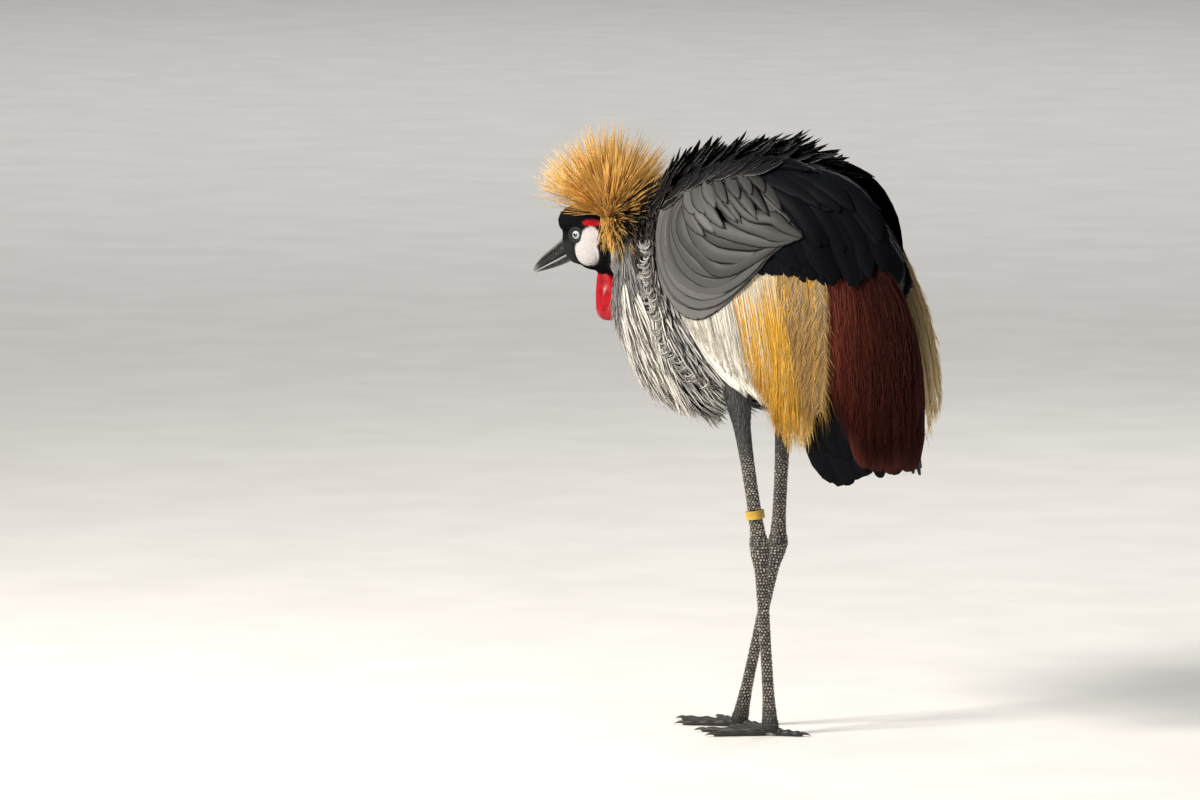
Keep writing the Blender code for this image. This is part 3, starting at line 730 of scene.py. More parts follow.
@dataclass
class Growth:
    """Where and how a group of feathers grows: one row of each array for each feather.

    Angles are in degrees: lift is the rise from the surface at the root, curl the further
    rise up to the tip, sweep the turn within the surface, roll the turn about the shaft,
    and wave the size of a side to side bend.
    """

    root: Array
    normal: Array
    heading: Array
    length: Array
    width: Array
    lift: Array
    curl: Array
    sweep: Array
    roll: Array
    wave: Array
    hand: Array
    phase: Array
    tint: Array

    @classmethod
    def grow(
        cls,
        seats: tuple[Array, Array, Array],
        rng: np.random.Generator,
        tint: Array | Colour,
        length: Span,
        width: Span,
        lift: Span = (6, 10),
        curl: Span = (-6, -2),
        sweep: Span = (-4, 4),
        roll: Span = (-8, 8),
        wave: Span = (0, 4),
        hand: Array | None = None,
    ) -> Growth:
        """Let feathers grow from seats, each size drawn from its span.

        Args:
            seats: Places, normals and headings.
            rng: Source of the random draws.
            tint: One colour for all, or one for each feather.
            length: Lengths in millimetres.
            width: Widths in millimetres.
            lift: Rises at the root.
            curl: Further rises up to the tip.
            sweep: Turns within the surface.
            roll: Turns about the shaft.
            wave: Sizes of the side to side bend.
            hand: Sign of the sweep and roll for each feather.

        Returns:
            The group of feathers.
        """
        root, normal, heading = seats
        count = len(root)
        normal = unit(normal)
        heading = unit(heading - normal * np.sum(heading * normal, axis=-1, keepdims=True))
        spans = (length, width, lift, curl, sweep, roll, wave)
        draws = [rng.uniform(*sorted(span), count) for span in spans]
        colours = np.broadcast_to(np.asarray(tint, float), (count, 3)).copy()
        colours = np.concatenate([colours, rng.uniform(0, 1, (count, 1))], axis=1)
        hands = np.ones(count) if hand is None else hand
        return cls(root, normal, heading, *draws, hands, rng.uniform(0, 6.28, count), colours)

    def frames(self, shares: Array) -> tuple[Array, Array, Array, Array]:
        """Follow every feather's shaft.

        Args:
            shares: Shares of the length, from 0 up.

        Returns:
            Points, directions ahead, directions across and directions up at each share.
        """
        across = np.cross(self.heading, self.normal)[:, None]
        heading, normal = self.heading[:, None], self.normal[:, None]

        def axes(at: Array) -> tuple[Array, Array, Array]:
            """Directions ahead, across and up at the shares."""
            turn = self.hand[:, None] * self.sweep[:, None] * at
            turn = turn + self.wave[:, None] * np.sin(WAVE_TURN * at + self.phase[:, None])
            turn = np.radians(turn)[..., None]
            rise = np.radians(self.lift[:, None] + self.curl[:, None] * at)[..., None]
            flat = heading * np.cos(turn) + across * np.sin(turn)
            side = across * np.cos(turn) - heading * np.sin(turn)
            ahead = flat * np.cos(rise) + normal * np.sin(rise)
            up = normal * np.cos(rise) - flat * np.sin(rise)
            return ahead, side, up

        middles = (shares[1:] + shares[:-1]) / 2
        steps = axes(middles)[0] * np.diff(shares)[None, :, None] * self.length[:, None, None]
        ahead, side, up = axes(np.broadcast_to(shares, (len(self.root), len(shares))))
        return self.run_on(steps), ahead, *self.rolled(side, up)

    def run_on(self, steps: Array) -> Array:
        """The roots, and the points that are reached from them by steps."""
        start = np.zeros((len(self.root), 1, 3))
        return self.root[:, None] + np.concatenate([start, np.cumsum(steps, axis=1)], axis=1)

    def rolled(self, side: Array, up: Array) -> tuple[Array, Array]:
        """Each feather's directions across and up, turned about its shaft."""
        roll = np.radians(self.hand * self.roll)[:, None, None]
        across = side * np.cos(roll) - up * np.sin(roll)
        return across, up * np.cos(roll) + side * np.sin(roll)

    def bend(self, form: VaneForm, rng: np.random.Generator) -> tuple[Array, Array, Array]:
        """Bend a form along every shaft.

        Args:
            form: The unbent feather.
            rng: Source of the random draws.

        Returns:
            Corners for each feather, the template's corners, and its triangles.
        """
        template, stations, faces = form.template()
        station = np.searchsorted(stations, np.round(template[:, 2], 5))
        points, ahead, side, up = self.frames(stations)
        shares, widths = np.array(form.outline).T
        half = self.width[:, None] / 2 * np.interp(stations, shares, widths)[None]
        height, across = template[:, 0], template[:, 1]
        fray = rng.normal(0, 1, (len(self.root), len(template))) * form.fray * np.abs(across)
        reach = half[:, station] * across * (1 + fray)
        thick = form.thickness / 2 * height * np.interp(template[:, 2], (0, 0.9, 1), (1, 0.6, 0.3))
        drop = form.cup * half[:, station] * 2 * across * across
        placed = points[:, station] + side[:, station] * reach[..., None]
        placed = placed + up[:, station] * (thick - drop)[..., None]
        placed = placed + ahead[:, station] * (fray * self.width[:, None] * 0.6)[..., None]
        return placed, template, faces

    def barbs(
        self, rng: np.random.Generator, pairs: int, length: Span, angle: Span, width: Span
    ) -> Growth:
        """Loose barbs down both sides of every shaft.

        Args:
            rng: Source of the random draws.
            pairs: Barbs on each side.
            length: Their lengths in the middle of the shaft.
            angle: Their angles from the shaft, in degrees.
            width: Their widths.

        Returns:
            The barbs as a group of their own.
        """
        shares = np.concatenate([[0.0], np.linspace(0.1, 0.98, pairs)])
        points, ahead, side, up = (part[:, 1:] for part in self.frames(shares))
        count = len(self.root) * pairs
        fullness = np.tile(np.sin(np.pi * np.clip(shares[1:], 0.12, 0.86)) ** 0.4, len(self.root))
        groups = []
        for hand in (-1.0, 1.0):
            turn = np.radians(rng.uniform(*sorted(angle), (len(self.root), pairs, 1)))
            heading = ahead * np.cos(turn) + side * hand * np.sin(turn)
            seats = (points.reshape(-1, 3), up.reshape(-1, 3), heading.reshape(-1, 3))
            tint = np.repeat(self.tint[:, :3], pairs, axis=0)
            group = Growth.grow(
                seats, rng, tint, length, width, lift=(-6, 10), curl=(-8, 4), sweep=(-30, -12),
                roll=(-20, 20), wave=(0, 9), hand=np.full(count, hand),
            )
            group.length = group.length * fullness
            groups.append(group)
        return Growth.joined(groups)

    @staticmethod
    def joined(groups: list[Growth]) -> Growth:
        """Several groups as one."""
        names = Growth.__dataclass_fields__
        return Growth(*(np.concatenate([getattr(group, name) for group in groups]) for name in names))

    def part(self, start: int, end: int) -> Growth:
        """The feathers from one number up to another."""
        kept = {name: getattr(self, name)[start:end] for name in Growth.__dataclass_fields__}
        return replace(self, **kept)

    def bake_places(self) -> Array:
        """A free cell of the bake map for each feather, near its root's place on the body."""
        x, y, z = np.moveaxis(self.root, -1, 0)
        axis_height = np.interp(x, (-270, -200, -120, 0, 120, 260), (570, 560, 520, 535, 530, 450))
        around = np.arctan2(y, z - axis_height) / (2 * np.pi) + 0.5
        along = x + 0.35 * np.abs(y) + 0.2 * (z - axis_height)
        flat = np.stack([around, along], axis=-1)
        low, high = flat.min(axis=0), flat.max(axis=0)
        cell = ((flat - low) / np.maximum(high - low, 1e-6) * (BAKE_CELLS - 2)).astype(int)
        wanted = cell[:, 0] * BAKE_CELLS + cell[:, 1]
        order = np.argsort(wanted, kind="stable")
        steps = np.arange(len(order))
        given = np.maximum.accumulate(wanted[order] - steps) + steps
        given = given - max(0, given[-1] - (BAKE_CELLS * BAKE_CELLS - 1))
        places = np.empty(len(order), int)
        places[order] = given
        return (np.stack([places // BAKE_CELLS, places % BAKE_CELLS], axis=-1) + 0.5) / BAKE_CELLS


@dataclass
class Plumage:
    """Feathers of one finish, gathered and then made into pieces."""

    name: str
    finish: PlumeFinish
    slot: str
    groups: list[tuple[Growth, VaneForm]] = field(default_factory=list)

    def add(self, growth: Growth, form: VaneForm) -> Growth:
        """Take in a group of feathers of one form."""
        self.groups.append((growth, form))
        return growth

    def make(self, rng: np.random.Generator, nodes: Iterable[str] = ()) -> None:
        """Make the gathered feathers into pieces, none with too many triangles.

        Args:
            rng: Source of the random draws.
            nodes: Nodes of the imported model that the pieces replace.
        """
        material = self.finish.material()
        loads: list[list[tuple[Growth, VaneForm]]] = [[]]
        room = MOST_TRIANGLES
        for growth, form in self.groups:
            each = len(form.template()[2])
            start = 0
            while start < len(growth.root):
                if room < each * LEAST_IN_PIECE:
                    loads.append([])
                    room = MOST_TRIANGLES
                end = min(len(growth.root), start + room // each)
                loads[-1].append((growth.part(start, end), form))
                room -= (end - start) * each
                start = end
        for number, load in enumerate(loads):
            name = self.name if number == 0 else f"{self.name}_{number + 1}"
            put_in(self.piece(name, load, material, rng), nodes)

    def piece(
        self,
        name: str,
        load: list[tuple[Growth, VaneForm]],
        material: bpy.types.Material,
        rng: np.random.Generator,
    ) -> bpy.types.Object:
        """One mesh of all the feathers in a load.

        Args:
            name: The piece's name.
            load: Groups of feathers and their forms.
            material: Their finish.
            rng: Source of the random draws.

        Returns:
            The new object.
        """
        points, faces, tints, vanes, bakes = [], [], [], [], []
        patches = Growth.joined([growth for growth, _ in load]).bake_places()
        base = used = 0
        for growth, form in load:
            placed, template, triangles = growth.bend(form, rng)
            count, corners = placed.shape[:2]
            starts = base + np.arange(count) * corners
            faces.append((triangles[None] + starts[:, None, None]).reshape(-1, 3))
            points.append(placed.reshape(-1, 3))
            tints.append(np.repeat(growth.tint, corners, axis=0))
            local = np.stack([template[:, 1] / 2 + 0.5, template[:, 2]], axis=-1)
            vanes.append(np.tile(local, (count, 1)))
            patch = patches[used : used + count, None] + (local[None] - 0.5) * BAKE_PATCH
            bakes.append(patch.reshape(-1, 2))
            base += count * corners
            used += count
        mesh = mesh_from(name, to_scene(np.concatenate(points)), np.concatenate(faces))
        mesh.materials.append(material)
        add_tint(mesh, np.concatenate(tints))
        add_map(mesh, VANE_MAP, np.concatenate(vanes))
        add_map(mesh, BAKE_MAP, np.concatenate(bakes))
        return linked(name, mesh)


def mesh_from(name: str, points: Array, faces: Array) -> bpy.types.Mesh:
    """A smooth mesh from corners and triangles.

    Args:
        name: Its name.
        points: Corners in metres.
        faces: Three corners for each triangle.

    Returns:
        The mesh.
    """
    mesh = bpy.data.meshes.new(name)
    mesh.vertices.add(len(points))
    mesh.vertices.foreach_set("co", points.astype(np.float32).ravel())
    mesh.loops.add(faces.size)
    mesh.loops.foreach_set("vertex_index", faces.astype(np.int32).ravel())
    mesh.polygons.add(len(faces))
    mesh.polygons.foreach_set("loop_start", np.arange(0, faces.size, 3, dtype=np.int32))
    mesh.polygons.foreach_set("use_smooth", np.ones(len(faces), bool))
    mesh.update(calc_edges=True)
    return mesh


def nearest(tree: BVHTree, points: Array) -> tuple[Array, Array]:
    """The places and normals of a surface nearest to points."""
    found = [tree.find_nearest(Vector(point)) for point in points]
    return np.array([hit[0][:] for hit in found]), np.array([hit[1][:] for hit in found])


# Colours of the plumage

BLACK = (0.006, 0.006, 0.008)
INK = (0.0030, 0.0035, 0.0050)
UMBER = (0.050, 0.038, 0.030)
HAIR_BROWN = (0.26, 0.21, 0.165)
PEARL = (0.29, 0.29, 0.295)
PALE = (0.74, 0.71, 0.65)
ASH = (0.072, 0.071, 0.071)
SMOKE = (0.13, 0.13, 0.135)
FROST = (0.66, 0.64, 0.60)
CREAM = (0.88, 0.84, 0.74)
SAND = (0.84, 0.76, 0.58)
CORN = (0.98, 0.78, 0.44)
GOLD = (0.92, 0.52, 0.060)
STRAW = (0.80, 0.58, 0.23)
TAN = (0.36, 0.20, 0.065)
BRISTLE_GOLD = (1.0, 0.59, 0.15)
MAROON = (0.050, 0.0090, 0.0060)
RUST = (0.17, 0.042, 0.026)
CHEEK_WHITE = (0.52, 0.497, 0.505)
BLUSH = (0.38, 0.012, 0.014)
LORE_GREY = (0.022, 0.023, 0.025)


def rimmed_black(name: str) -> PlumeFinish:
    """A finish for black feathers with a thin pale rim."""
    return PlumeFinish(
        name, edge=FROST, edge_amount=0.95, edge_start=0.84, roughness=0.45, gloss=0.1
    )


@dataclass(frozen=True)
class Marking:
    """An oval patch of colour on the head in the side view."""

    centre: Place
    half: Place
    colour: Colour
    soft: float = 0.12

    def share(self, points: Array) -> Array:
        """How much of the patch's colour each point takes."""
        x, _, z = np.moveaxis(points, -1, 0)
        far = np.hypot((x - self.centre[0]) / self.half[0], (z - self.centre[1]) / self.half[1])
        return 1 - smooth_step(far, 1 - self.soft, 1 + self.soft)


CHEEK_LOBE = Marking((-226, 555), (17.5, 16.5), CHEEK_WHITE, 0.07)
CHEEK_TOP = Marking((-220, 572.5), (13.0, 13.0), CHEEK_WHITE, 0.07)
RED_PATCH = Marking((-221, 590), (12.5, 3.8), BLUSH, 0.2)


@dataclass
class Body:
    """Torso, neck and head as one skin, with the coat that grows on it."""

    rings: tuple[tuple[Place, Place, float, float], ...] = (
        ((194, 538), (198, 556), 7, 0),
        ((184, 500), (192, 572), 24, 0),
        ((158, 462), (166, 610), 44, 0),
        ((122, 428), (128, 650), 62, 0),
        ((72, 404), (78, 676), 74, 0),
        ((18, 392), (18, 684), 78, 0),
        ((-42, 386), (-48, 674), 74, 0),
        ((-92, 386), (-105, 656), 63, 0),
        ((-118, 398), (-138, 634), 50, 0),
        ((-142, 402), (-150, 628), 48, 0),
        ((-168, 428), (-158, 622), 44, 0),
        ((-186, 460), (-163, 607), 37, 0),
        ((-189, 490), (-160, 592), 31, 0),
        ((-189, 513), (-164, 584), 26, 0),
        ((-202, 532), (-176, 580), 22, 0),
        ((-219, 532), (-188, 597), 22.5, 0),
        ((-234, 534), (-222, 605), 22.5, 0),
        ((-246, 537), (-248, 603), 19.5, 0),
        ((-255, 539), (-265, 592), 14.5, 0),
        ((-260, 541), (-271, 573), 9.5, 0),
    )
    sides: int = 80
    rows: int = 230
    row_steps: tuple[Place, ...] = ((0, 0), (0.28, 8), (0.5, 13.5), (1, 19))
    inset: float = 2.0
    head_inset: float = 0.7
    bulges: tuple[tuple[tuple[float, float, float], tuple[float, float, float]], ...] = (
        ((-249, 0, 590), (27, 18.5, 18.5)),
        ((-226, 16.5, 555), (17, 8.6, 16.5)),
        ((-220, 16.5, 572.5), (13, 7.2, 13)),
    )
    head_start: float = -205.0
    socket_radius: float = 6.6
    socket_floor: float = 15.0
    eye_room: float = 11.0
    root_depth: float = 0.4
    tree: BVHTree | None = None

    @property
    def path(self) -> RingPath:
        """The rings as one smooth form."""
        return RingPath(self.rings)

    def shape(self, share: Array, bearing: Array) -> Array:
        """The skin before its bulges and eye sockets."""
        steps = np.array(self.row_steps)
        places = np.interp(share, steps[:, 0], steps[:, 1])
        body = self.path.surface(places, bearing, self.inset)
        head = self.path.surface(places, bearing, self.head_inset)
        return between(body, head, smooth_step(places, 12.0, 14.5)[:, None])

    def swell(self, points: Array) -> Array:
        """Push the skin out to the cap and the cheeks, and in to the eye sockets."""
        for (x, y, z), half in self.bulges:
            for side in {1, -1} if y else {1}:
                off = points - np.array([x, side * y, z])
                far = np.linalg.norm(off / np.array(half), axis=1, keepdims=True)
                outward = np.where(far < 1, off / np.maximum(far, 0.2) - off, 0)
                points = points + outward
        far = np.hypot(points[:, 0] - EYE[0], points[:, 2] - EYE[2])
        y = points[:, 1]
        sunk = (far < self.socket_radius) & (np.abs(y) > 5)
        points[:, 1] = np.where(sunk, np.sign(y) * np.minimum(np.abs(y), self.socket_floor), y)
        return points

    def markings(self, points: Array) -> Array:
        """The colours of skin and coat at points on the body."""
        x, y, z = np.moveaxis(points, -1, 0)
        colour = np.tile(np.array(SMOKE) * 0.35, (len(points), 1))

        def lay(share: Array, paint: Colour) -> None:
            """Lay a colour over what is there."""
            nonlocal colour
            colour = between(colour, paint, share[:, None])

        neck = smooth_step(-x, 128, 150)
        lay(neck, SMOKE)
        front = smooth_step(-x - (z - 480) * 0.15, 150, 178) * smooth_step(610 - z, 0, 40)
        lay(front, PEARL)
        head = smooth_step(-x + (z - 560) * 0.1, 188, 196)
        lay(head, BLACK)
        on_side = smooth_step(np.abs(y), 8, 13)
        for patch in (RED_PATCH, CHEEK_TOP, CHEEK_LOBE):
            lay(patch.share(points) * on_side, patch.colour)
        bare = smooth_step(-x, 242, 252) * smooth_step(571 - z, 0, 8)
        lay(bare * 0.8, LORE_GREY)
        return colour

    def make_skin(self) -> None:
        """Build the skin and keep a search tree of it."""
        bm, surface = wrapped(self.sides, self.rows, self.shape)
        set_points(bm, self.swell(bm_points(bm)))
        head = [vert for vert in bm.verts if vert.co.x < self.head_start]
        for _ in range(2):
            bmesh.ops.smooth_vert(
                bm, verts=head, factor=0.5, use_axis_x=True, use_axis_y=True, use_axis_z=True
            )
        points = bm_points(bm)
        bmesh.ops.recalc_face_normals(bm, faces=bm.faces)
        self.tree = BVHTree.FromBMesh(bm)
        finish = SkinFinish("skin_markings").material()
        skin = closed_piece("body_skin", bm, finish, self.markings(points), surface)
        put_in(skin, ("torso", "neck", "head"))

    def seats(
        self, places: Array, bearings: Array, heading: Array | None = None
    ) -> tuple[Array, Array, Array]:
        """Seats on the skin.

        Args:
            places: Ring numbers.
            bearings: Angles in degrees, 0 on the back and 180 below.
            heading: Directions of growth, or none to lie from head to tail.

        Returns:
            Places, normals and headings.
        """
        turned = np.radians(bearings)
        points = self.path.surface(places, turned)
        if heading is None:
            heading = self.path.surface(places - 0.05, turned) - points
        root, normal = nearest(self.tree, points)
        return root - normal * self.root_depth, normal, np.broadcast_to(heading, root.shape)

    def both(self, count: int, places: Span, bearings: Span) -> tuple[Array, Array]:
        """Places and bearings spread over both sides of the body."""
        place, bearing = spread(count, places, bearings)
        return place, bearing * np.where(np.arange(count) % 2, 1, -1)

    def make_coat(self, rng: np.random.Generator) -> None:
        """Grow the coat, region by region."""
        self.grow_head(rng)
        self.grow_neck(rng)
        self.grow_breast(rng)
        self.grow_mantle(rng)
        self.grow_belly(rng)

    def grow_head(self, rng: np.random.Generator) -> None:
        """Velvet on the cap, and short black feathers round the cheek and down the throat."""
        finish = PlumeFinish("velvet_black", roughness=0.85, gloss=0.1, barb_depth=0.2)
        velvet = Plumage("head_velvet", finish, "face_plumage")
        place, bearing = self.both(9000, (14.0, 18.9), (0, 180))
        root, normal, heading = self.seats(place, bearing)
        tint = self.markings(root)
        bare = tint[:, 0] > 0.1
        x, _, z = np.moveaxis(root, -1, 0)
        eye = np.hypot(x - EYE[0], z - EYE[2]) < self.eye_room
        lore = (x < -243) & (z < 574)
        keep = ~(bare | eye | lore)
        cap = (x < -222) & (z > 578)
        coats = ((keep & cap, (1.6, 2.6), (35, 60)), (keep & ~cap, (4, 7), (12, 22)))
        for where, length, lift in coats:
            seats = (root[where], normal[where], heading[where])
            velvet.add(Growth.grow(seats, rng, BLACK, length, (0.7, 1.1), lift, (-20, 0)), TUFT)
        place, bearing = self.both(900, (13.6, 15.4), (140, 180))
        down = unit(np.array([0.25, 0, -1.0]))
        throat = Growth.grow(self.seats(place, bearing, down), rng, BLACK, (8, 15), (1.0, 1.8), (5, 20))
        velvet.add(throat, STRAND)
        velvet.make(rng)
        finish = PlumeFinish("cheek_down", roughness=0.7, sheen=0.3, barb_depth=0.1, bump=0.1)
        cheek = Plumage("cheek_down", finish, "face_plumage")
        where = bare & ~eye
        seats = (root[where], normal[where], heading[where])
        fluff = Growth.grow(seats, rng, tint[where], (1.0, 1.6), (0.6, 0.9), (12, 22), (-16, -6))
        cheek.add(fluff, TUFT)
        cheek.make(rng)

    def grow_neck(self, rng: np.random.Generator) -> None:
        """Fine hair-like feathers down the neck, and the dark mane on the nape."""
        finish = PlumeFinish("neck_pearl", tip=PALE, tip_amount=0.25, roughness=0.7, barbs=20)
        hair = Plumage("neck_hair", finish, "plumage_pearl")
        groups = (
            (4400, (9.4, 14.0), (52, 180), (15, 26), (1.5, 2.6), (1, 4), STRAND),
            (1500, (8.2, 11.4), (66, 180), (28, 44), (2.2, 3.6), (1, 4), STRAND),
            (900, (8.6, 13.2), (64, 180), (24, 40), (3.6, 5.6), (1, 4), LANCE),
        )
        for count, places, bearings, length, width, lift, form in groups:
            place, bearing = self.both(count, places, bearings)
            slope = np.interp(place, (8.4, 11, 14), (-60, -70, -80))
            seats = self.seats(place, bearing, lie(slope + rng.uniform(-7, 7, len(place))))
            tint = self.neck_tint(seats[0], rng)
            growth = Growth.grow(seats, rng, tint, length, width, lift, (-8, 0), wave=(0, 8))
            by_wattle = (seats[0][:, 0] < -182) & (seats[0][:, 2] < 550)
            growth.length = np.where(by_wattle, rng.uniform(7, 11, len(place)), growth.length)
            growth.lift = np.where(by_wattle, 2.0, growth.lift)
            hair.add(growth, form)
        hair.make(rng)
        finish = PlumeFinish(
            "mane_dark", tip=(0.20, 0.17, 0.15), tip_amount=0.3, edge=(0.36, 0.33, 0.30),
            edge_amount=0.5, edge_start=0.8, roughness=0.6, gloss=0.3,
        )
        mane = Plumage("nape_mane", finish, "plumage_slate")
        groups = (
            (800, (8.2, 11.0), (0, 52), (18, 30), (3.0, 5.4), (18, 38), LANCE, BLACK, UMBER),
            (460, (7.2, 9.2), (28, 72), (18, 28), (5.0, 8.0), (8, 20), LANCE, BLACK, UMBER),
            (1700, (10.6, 14.6), (0, 72), (12, 22), (0.9, 1.6), (8, 22), STRAND, UMBER, HAIR_BROWN),
        )
        for count, places, bearings, length, width, lift, form, dark, light in groups:
            place, bearing = self.both(count, places, bearings)
            slope = np.interp(np.abs(bearing), (0, 58), (5, -50))
            heading = lie(slope + rng.uniform(-14, 14, len(place)))
            tint = between(dark, light, rng.uniform(0, 1, (len(place), 1)) ** 2)
            seats = self.seats(place, bearing, heading)
            mane.add(Growth.grow(seats, rng, tint, length, width, lift, (-40, 6), wave=(0, 8)), form)
        mane.make(rng)

    def neck_tint(self, root: Array, rng: np.random.Generator) -> Array:
        """Pearl grey behind the throat, paler down the front and darker towards the top and the mane: partly
        the neck's own colours, partly painted shade on the upper neck.
        """
        x, _, z = np.moveaxis(root, -1, 0)
        pale = smooth_step(560 - z, 10, 110)[:, None] * rng.uniform(0.7, 1.0, (len(root), 1))
        # Painted shade: darker towards the top of the neck.
        dark = smooth_step(z - 545 - (x + 180) * 0.4, 0, 45)[:, None]
        return between(between(PEARL, PALE, pale), SMOKE, dark * 0.75)

    def grow_breast(self, rng: np.random.Generator) -> None:
        """Long pale hackles over dark ones, and the curled feathers ahead of the wing."""
        finish = PlumeFinish("breast_dark", roughness=0.7, gloss=0.2)
        under = Plumage("breast_under", finish, "plumage_slate")
        place, bearing = self.both(950, (5.6, 8.5), (76, 180))
        seats = self.seats(place, bearing, lie(rng.uniform(-62, -42, len(place))))
        under.add(Growth.grow(seats, rng, BLACK, (24, 40), (4, 7), (3, 7)), LANCE)
        under.make(rng)
        finish = PlumeFinish(
            "hackle_pale", tip=PALE, tip_amount=0.4, edge=(0.10, 0.10, 0.10), edge_amount=0.6,
            edge_start=0.8, roughness=0.65,
        )
        hackle = Plumage("breast_hackles", finish, "plumage_pearl")
        groups = (
            (760, (7.2, 10.4), (84, 180), (44, 70), (4.0, 6.4), (-66, -54), (PALE, PALE), (2, 7)),
            (300, (5.8, 7.4), (96, 180), (44, 64), (3.6, 6.0), (-54, -36), (PEARL, PALE), (5, 10)),
            (330, (5.2, 7.9), (76, 122), (34, 52), (8.0, 13.0), (-64, -46), (ASH, PEARL), (4, 7)),
        )
        for count, places, bearings, length, width, angles, (dark, light), lift in groups:
            place, bearing = self.both(count, places, bearings)
            heading = lie(rng.uniform(*angles, len(place)))
            tint = between(dark, light, rng.uniform(0, 1, (len(place), 1)))
            seats = self.seats(place, bearing, heading)
            hackle.add(Growth.grow(seats, rng, tint, length, width, lift, (-8, 4), wave=(0, 6)), LANCE)
        hackle.make(rng)
        self.grow_curls(rng)

    def grow_curls(self, rng: np.random.Generator) -> None:
        """Feathers with rolled pale rims, in a chain ahead of each wing."""
        finish = PlumeFinish(
            "curl_rimmed", edge=(0.90, 0.87, 0.80), edge_amount=0.95, edge_start=0.4,
            roughness=0.6, barb_depth=0.2,
        )
        curls = Plumage("shoulder_curls", finish, "plumage_slate")
        line = (
            (-131, 584), (-126, 556), (-114, 530), (-104, 505), (-95, 478), (-82, 450), (-60, 416),
            (-40, 400),
        )
        bases = (
            (300, (18, 28), (5.0, 8.0), (8, 16), (-20, 0), (-20, 20), LANCE, 2.0, (BLACK, UMBER)),
            (140, (14, 23), (2.8, 4.4), (10, 28), (-20, 20), (130, 250), RIBBON, 6.0, (UMBER, PEARL)),
        )
        for count, length, width, lift, curl, sweep, form, rise, (dark, light) in bases:
            share = (np.arange(count) + 0.5) / count
            hand = np.where(np.arange(count) % 2, 1.0, -1.0)
            spot = along_line(line, share) + rng.uniform(-1, 1, (count, 2)) * (8, 5)
            root, normal = nearest(self.tree, np.stack([spot[:, 0], hand * 80, spot[:, 1]], axis=-1))
            heading = lie(np.interp(share, (0, 1), (-75, -50)) + rng.uniform(-25, 25, count))
            tint = between(dark, light, rng.uniform(0, 1, (count, 1)))
            seats = (root + normal * rise, normal, heading)
            growth = Growth.grow(
                seats, rng, tint, length, width, lift, curl, sweep, roll=(-30, 30), wave=(0, 6), hand=-hand
            )
            curls.add(growth, form)
        curls.make(rng)

    def grow_mantle(self, rng: np.random.Generator) -> None:
        """Spiky black feathers that stand up along the back."""
        mantle = Plumage("mantle", rimmed_black("mantle_black"), "plumage_slate")
        groups = (
            (200, (4.1, 8.7), (0, 46), (44, 60), (13, 19), (12, 24), (-16, 2)),
            (70, (4.8, 7.9), (0, 16), (40, 56), (12, 17), (20, 34), (-24, 8)),
            (24, (4.5, 5.4), (0, 28), (46, 60), (10, 14), (22, 32), (-8, 6)),
        )
        for count, places, bearings, length, width, lift, curl in groups:
            place, bearing = self.both(count, places, bearings)
            seats = self.seats(place, bearing)
            growth = Growth.grow(seats, rng, BLACK, length, width, lift, curl, sweep=(-12, 12))
            shoulder = 1 - 0.4 * smooth_step(place, 7.2, 8.6)
            growth.length = growth.length * shoulder
            growth.width = growth.width * shoulder
            mantle.add(growth, SPEAR)
        mantle.make(rng)

    def grow_belly(self, rng: np.random.Generator) -> None:
        """Grey feathers under the body and on the flanks, back to the tail."""
        finish = PlumeFinish(
            "belly_grey", tip=ASH, tip_amount=0.4, edge=ASH, edge_amount=0.4, roughness=0.75
        )
        belly = Plumage("belly", finish, "plumage_slate")
        place, bearing = self.both(1300, (1.2, 7.0), (70, 180))
        seats = self.seats(place, bearing)
        tint = np.array(SMOKE) * rng.uniform(0.4, 1.0, (len(place), 1))
        belly.add(Growth.grow(seats, rng, tint, (22, 34), (6, 10), (3, 7)), LANCE)
        place, bearing = self.both(240, (1.3, 3.6), (0, 80))
        belly.add(Growth.grow(self.seats(place, bearing), rng, BLACK, (24, 34), (9, 14), (3, 7)), LANCE)
        belly.make(rng)


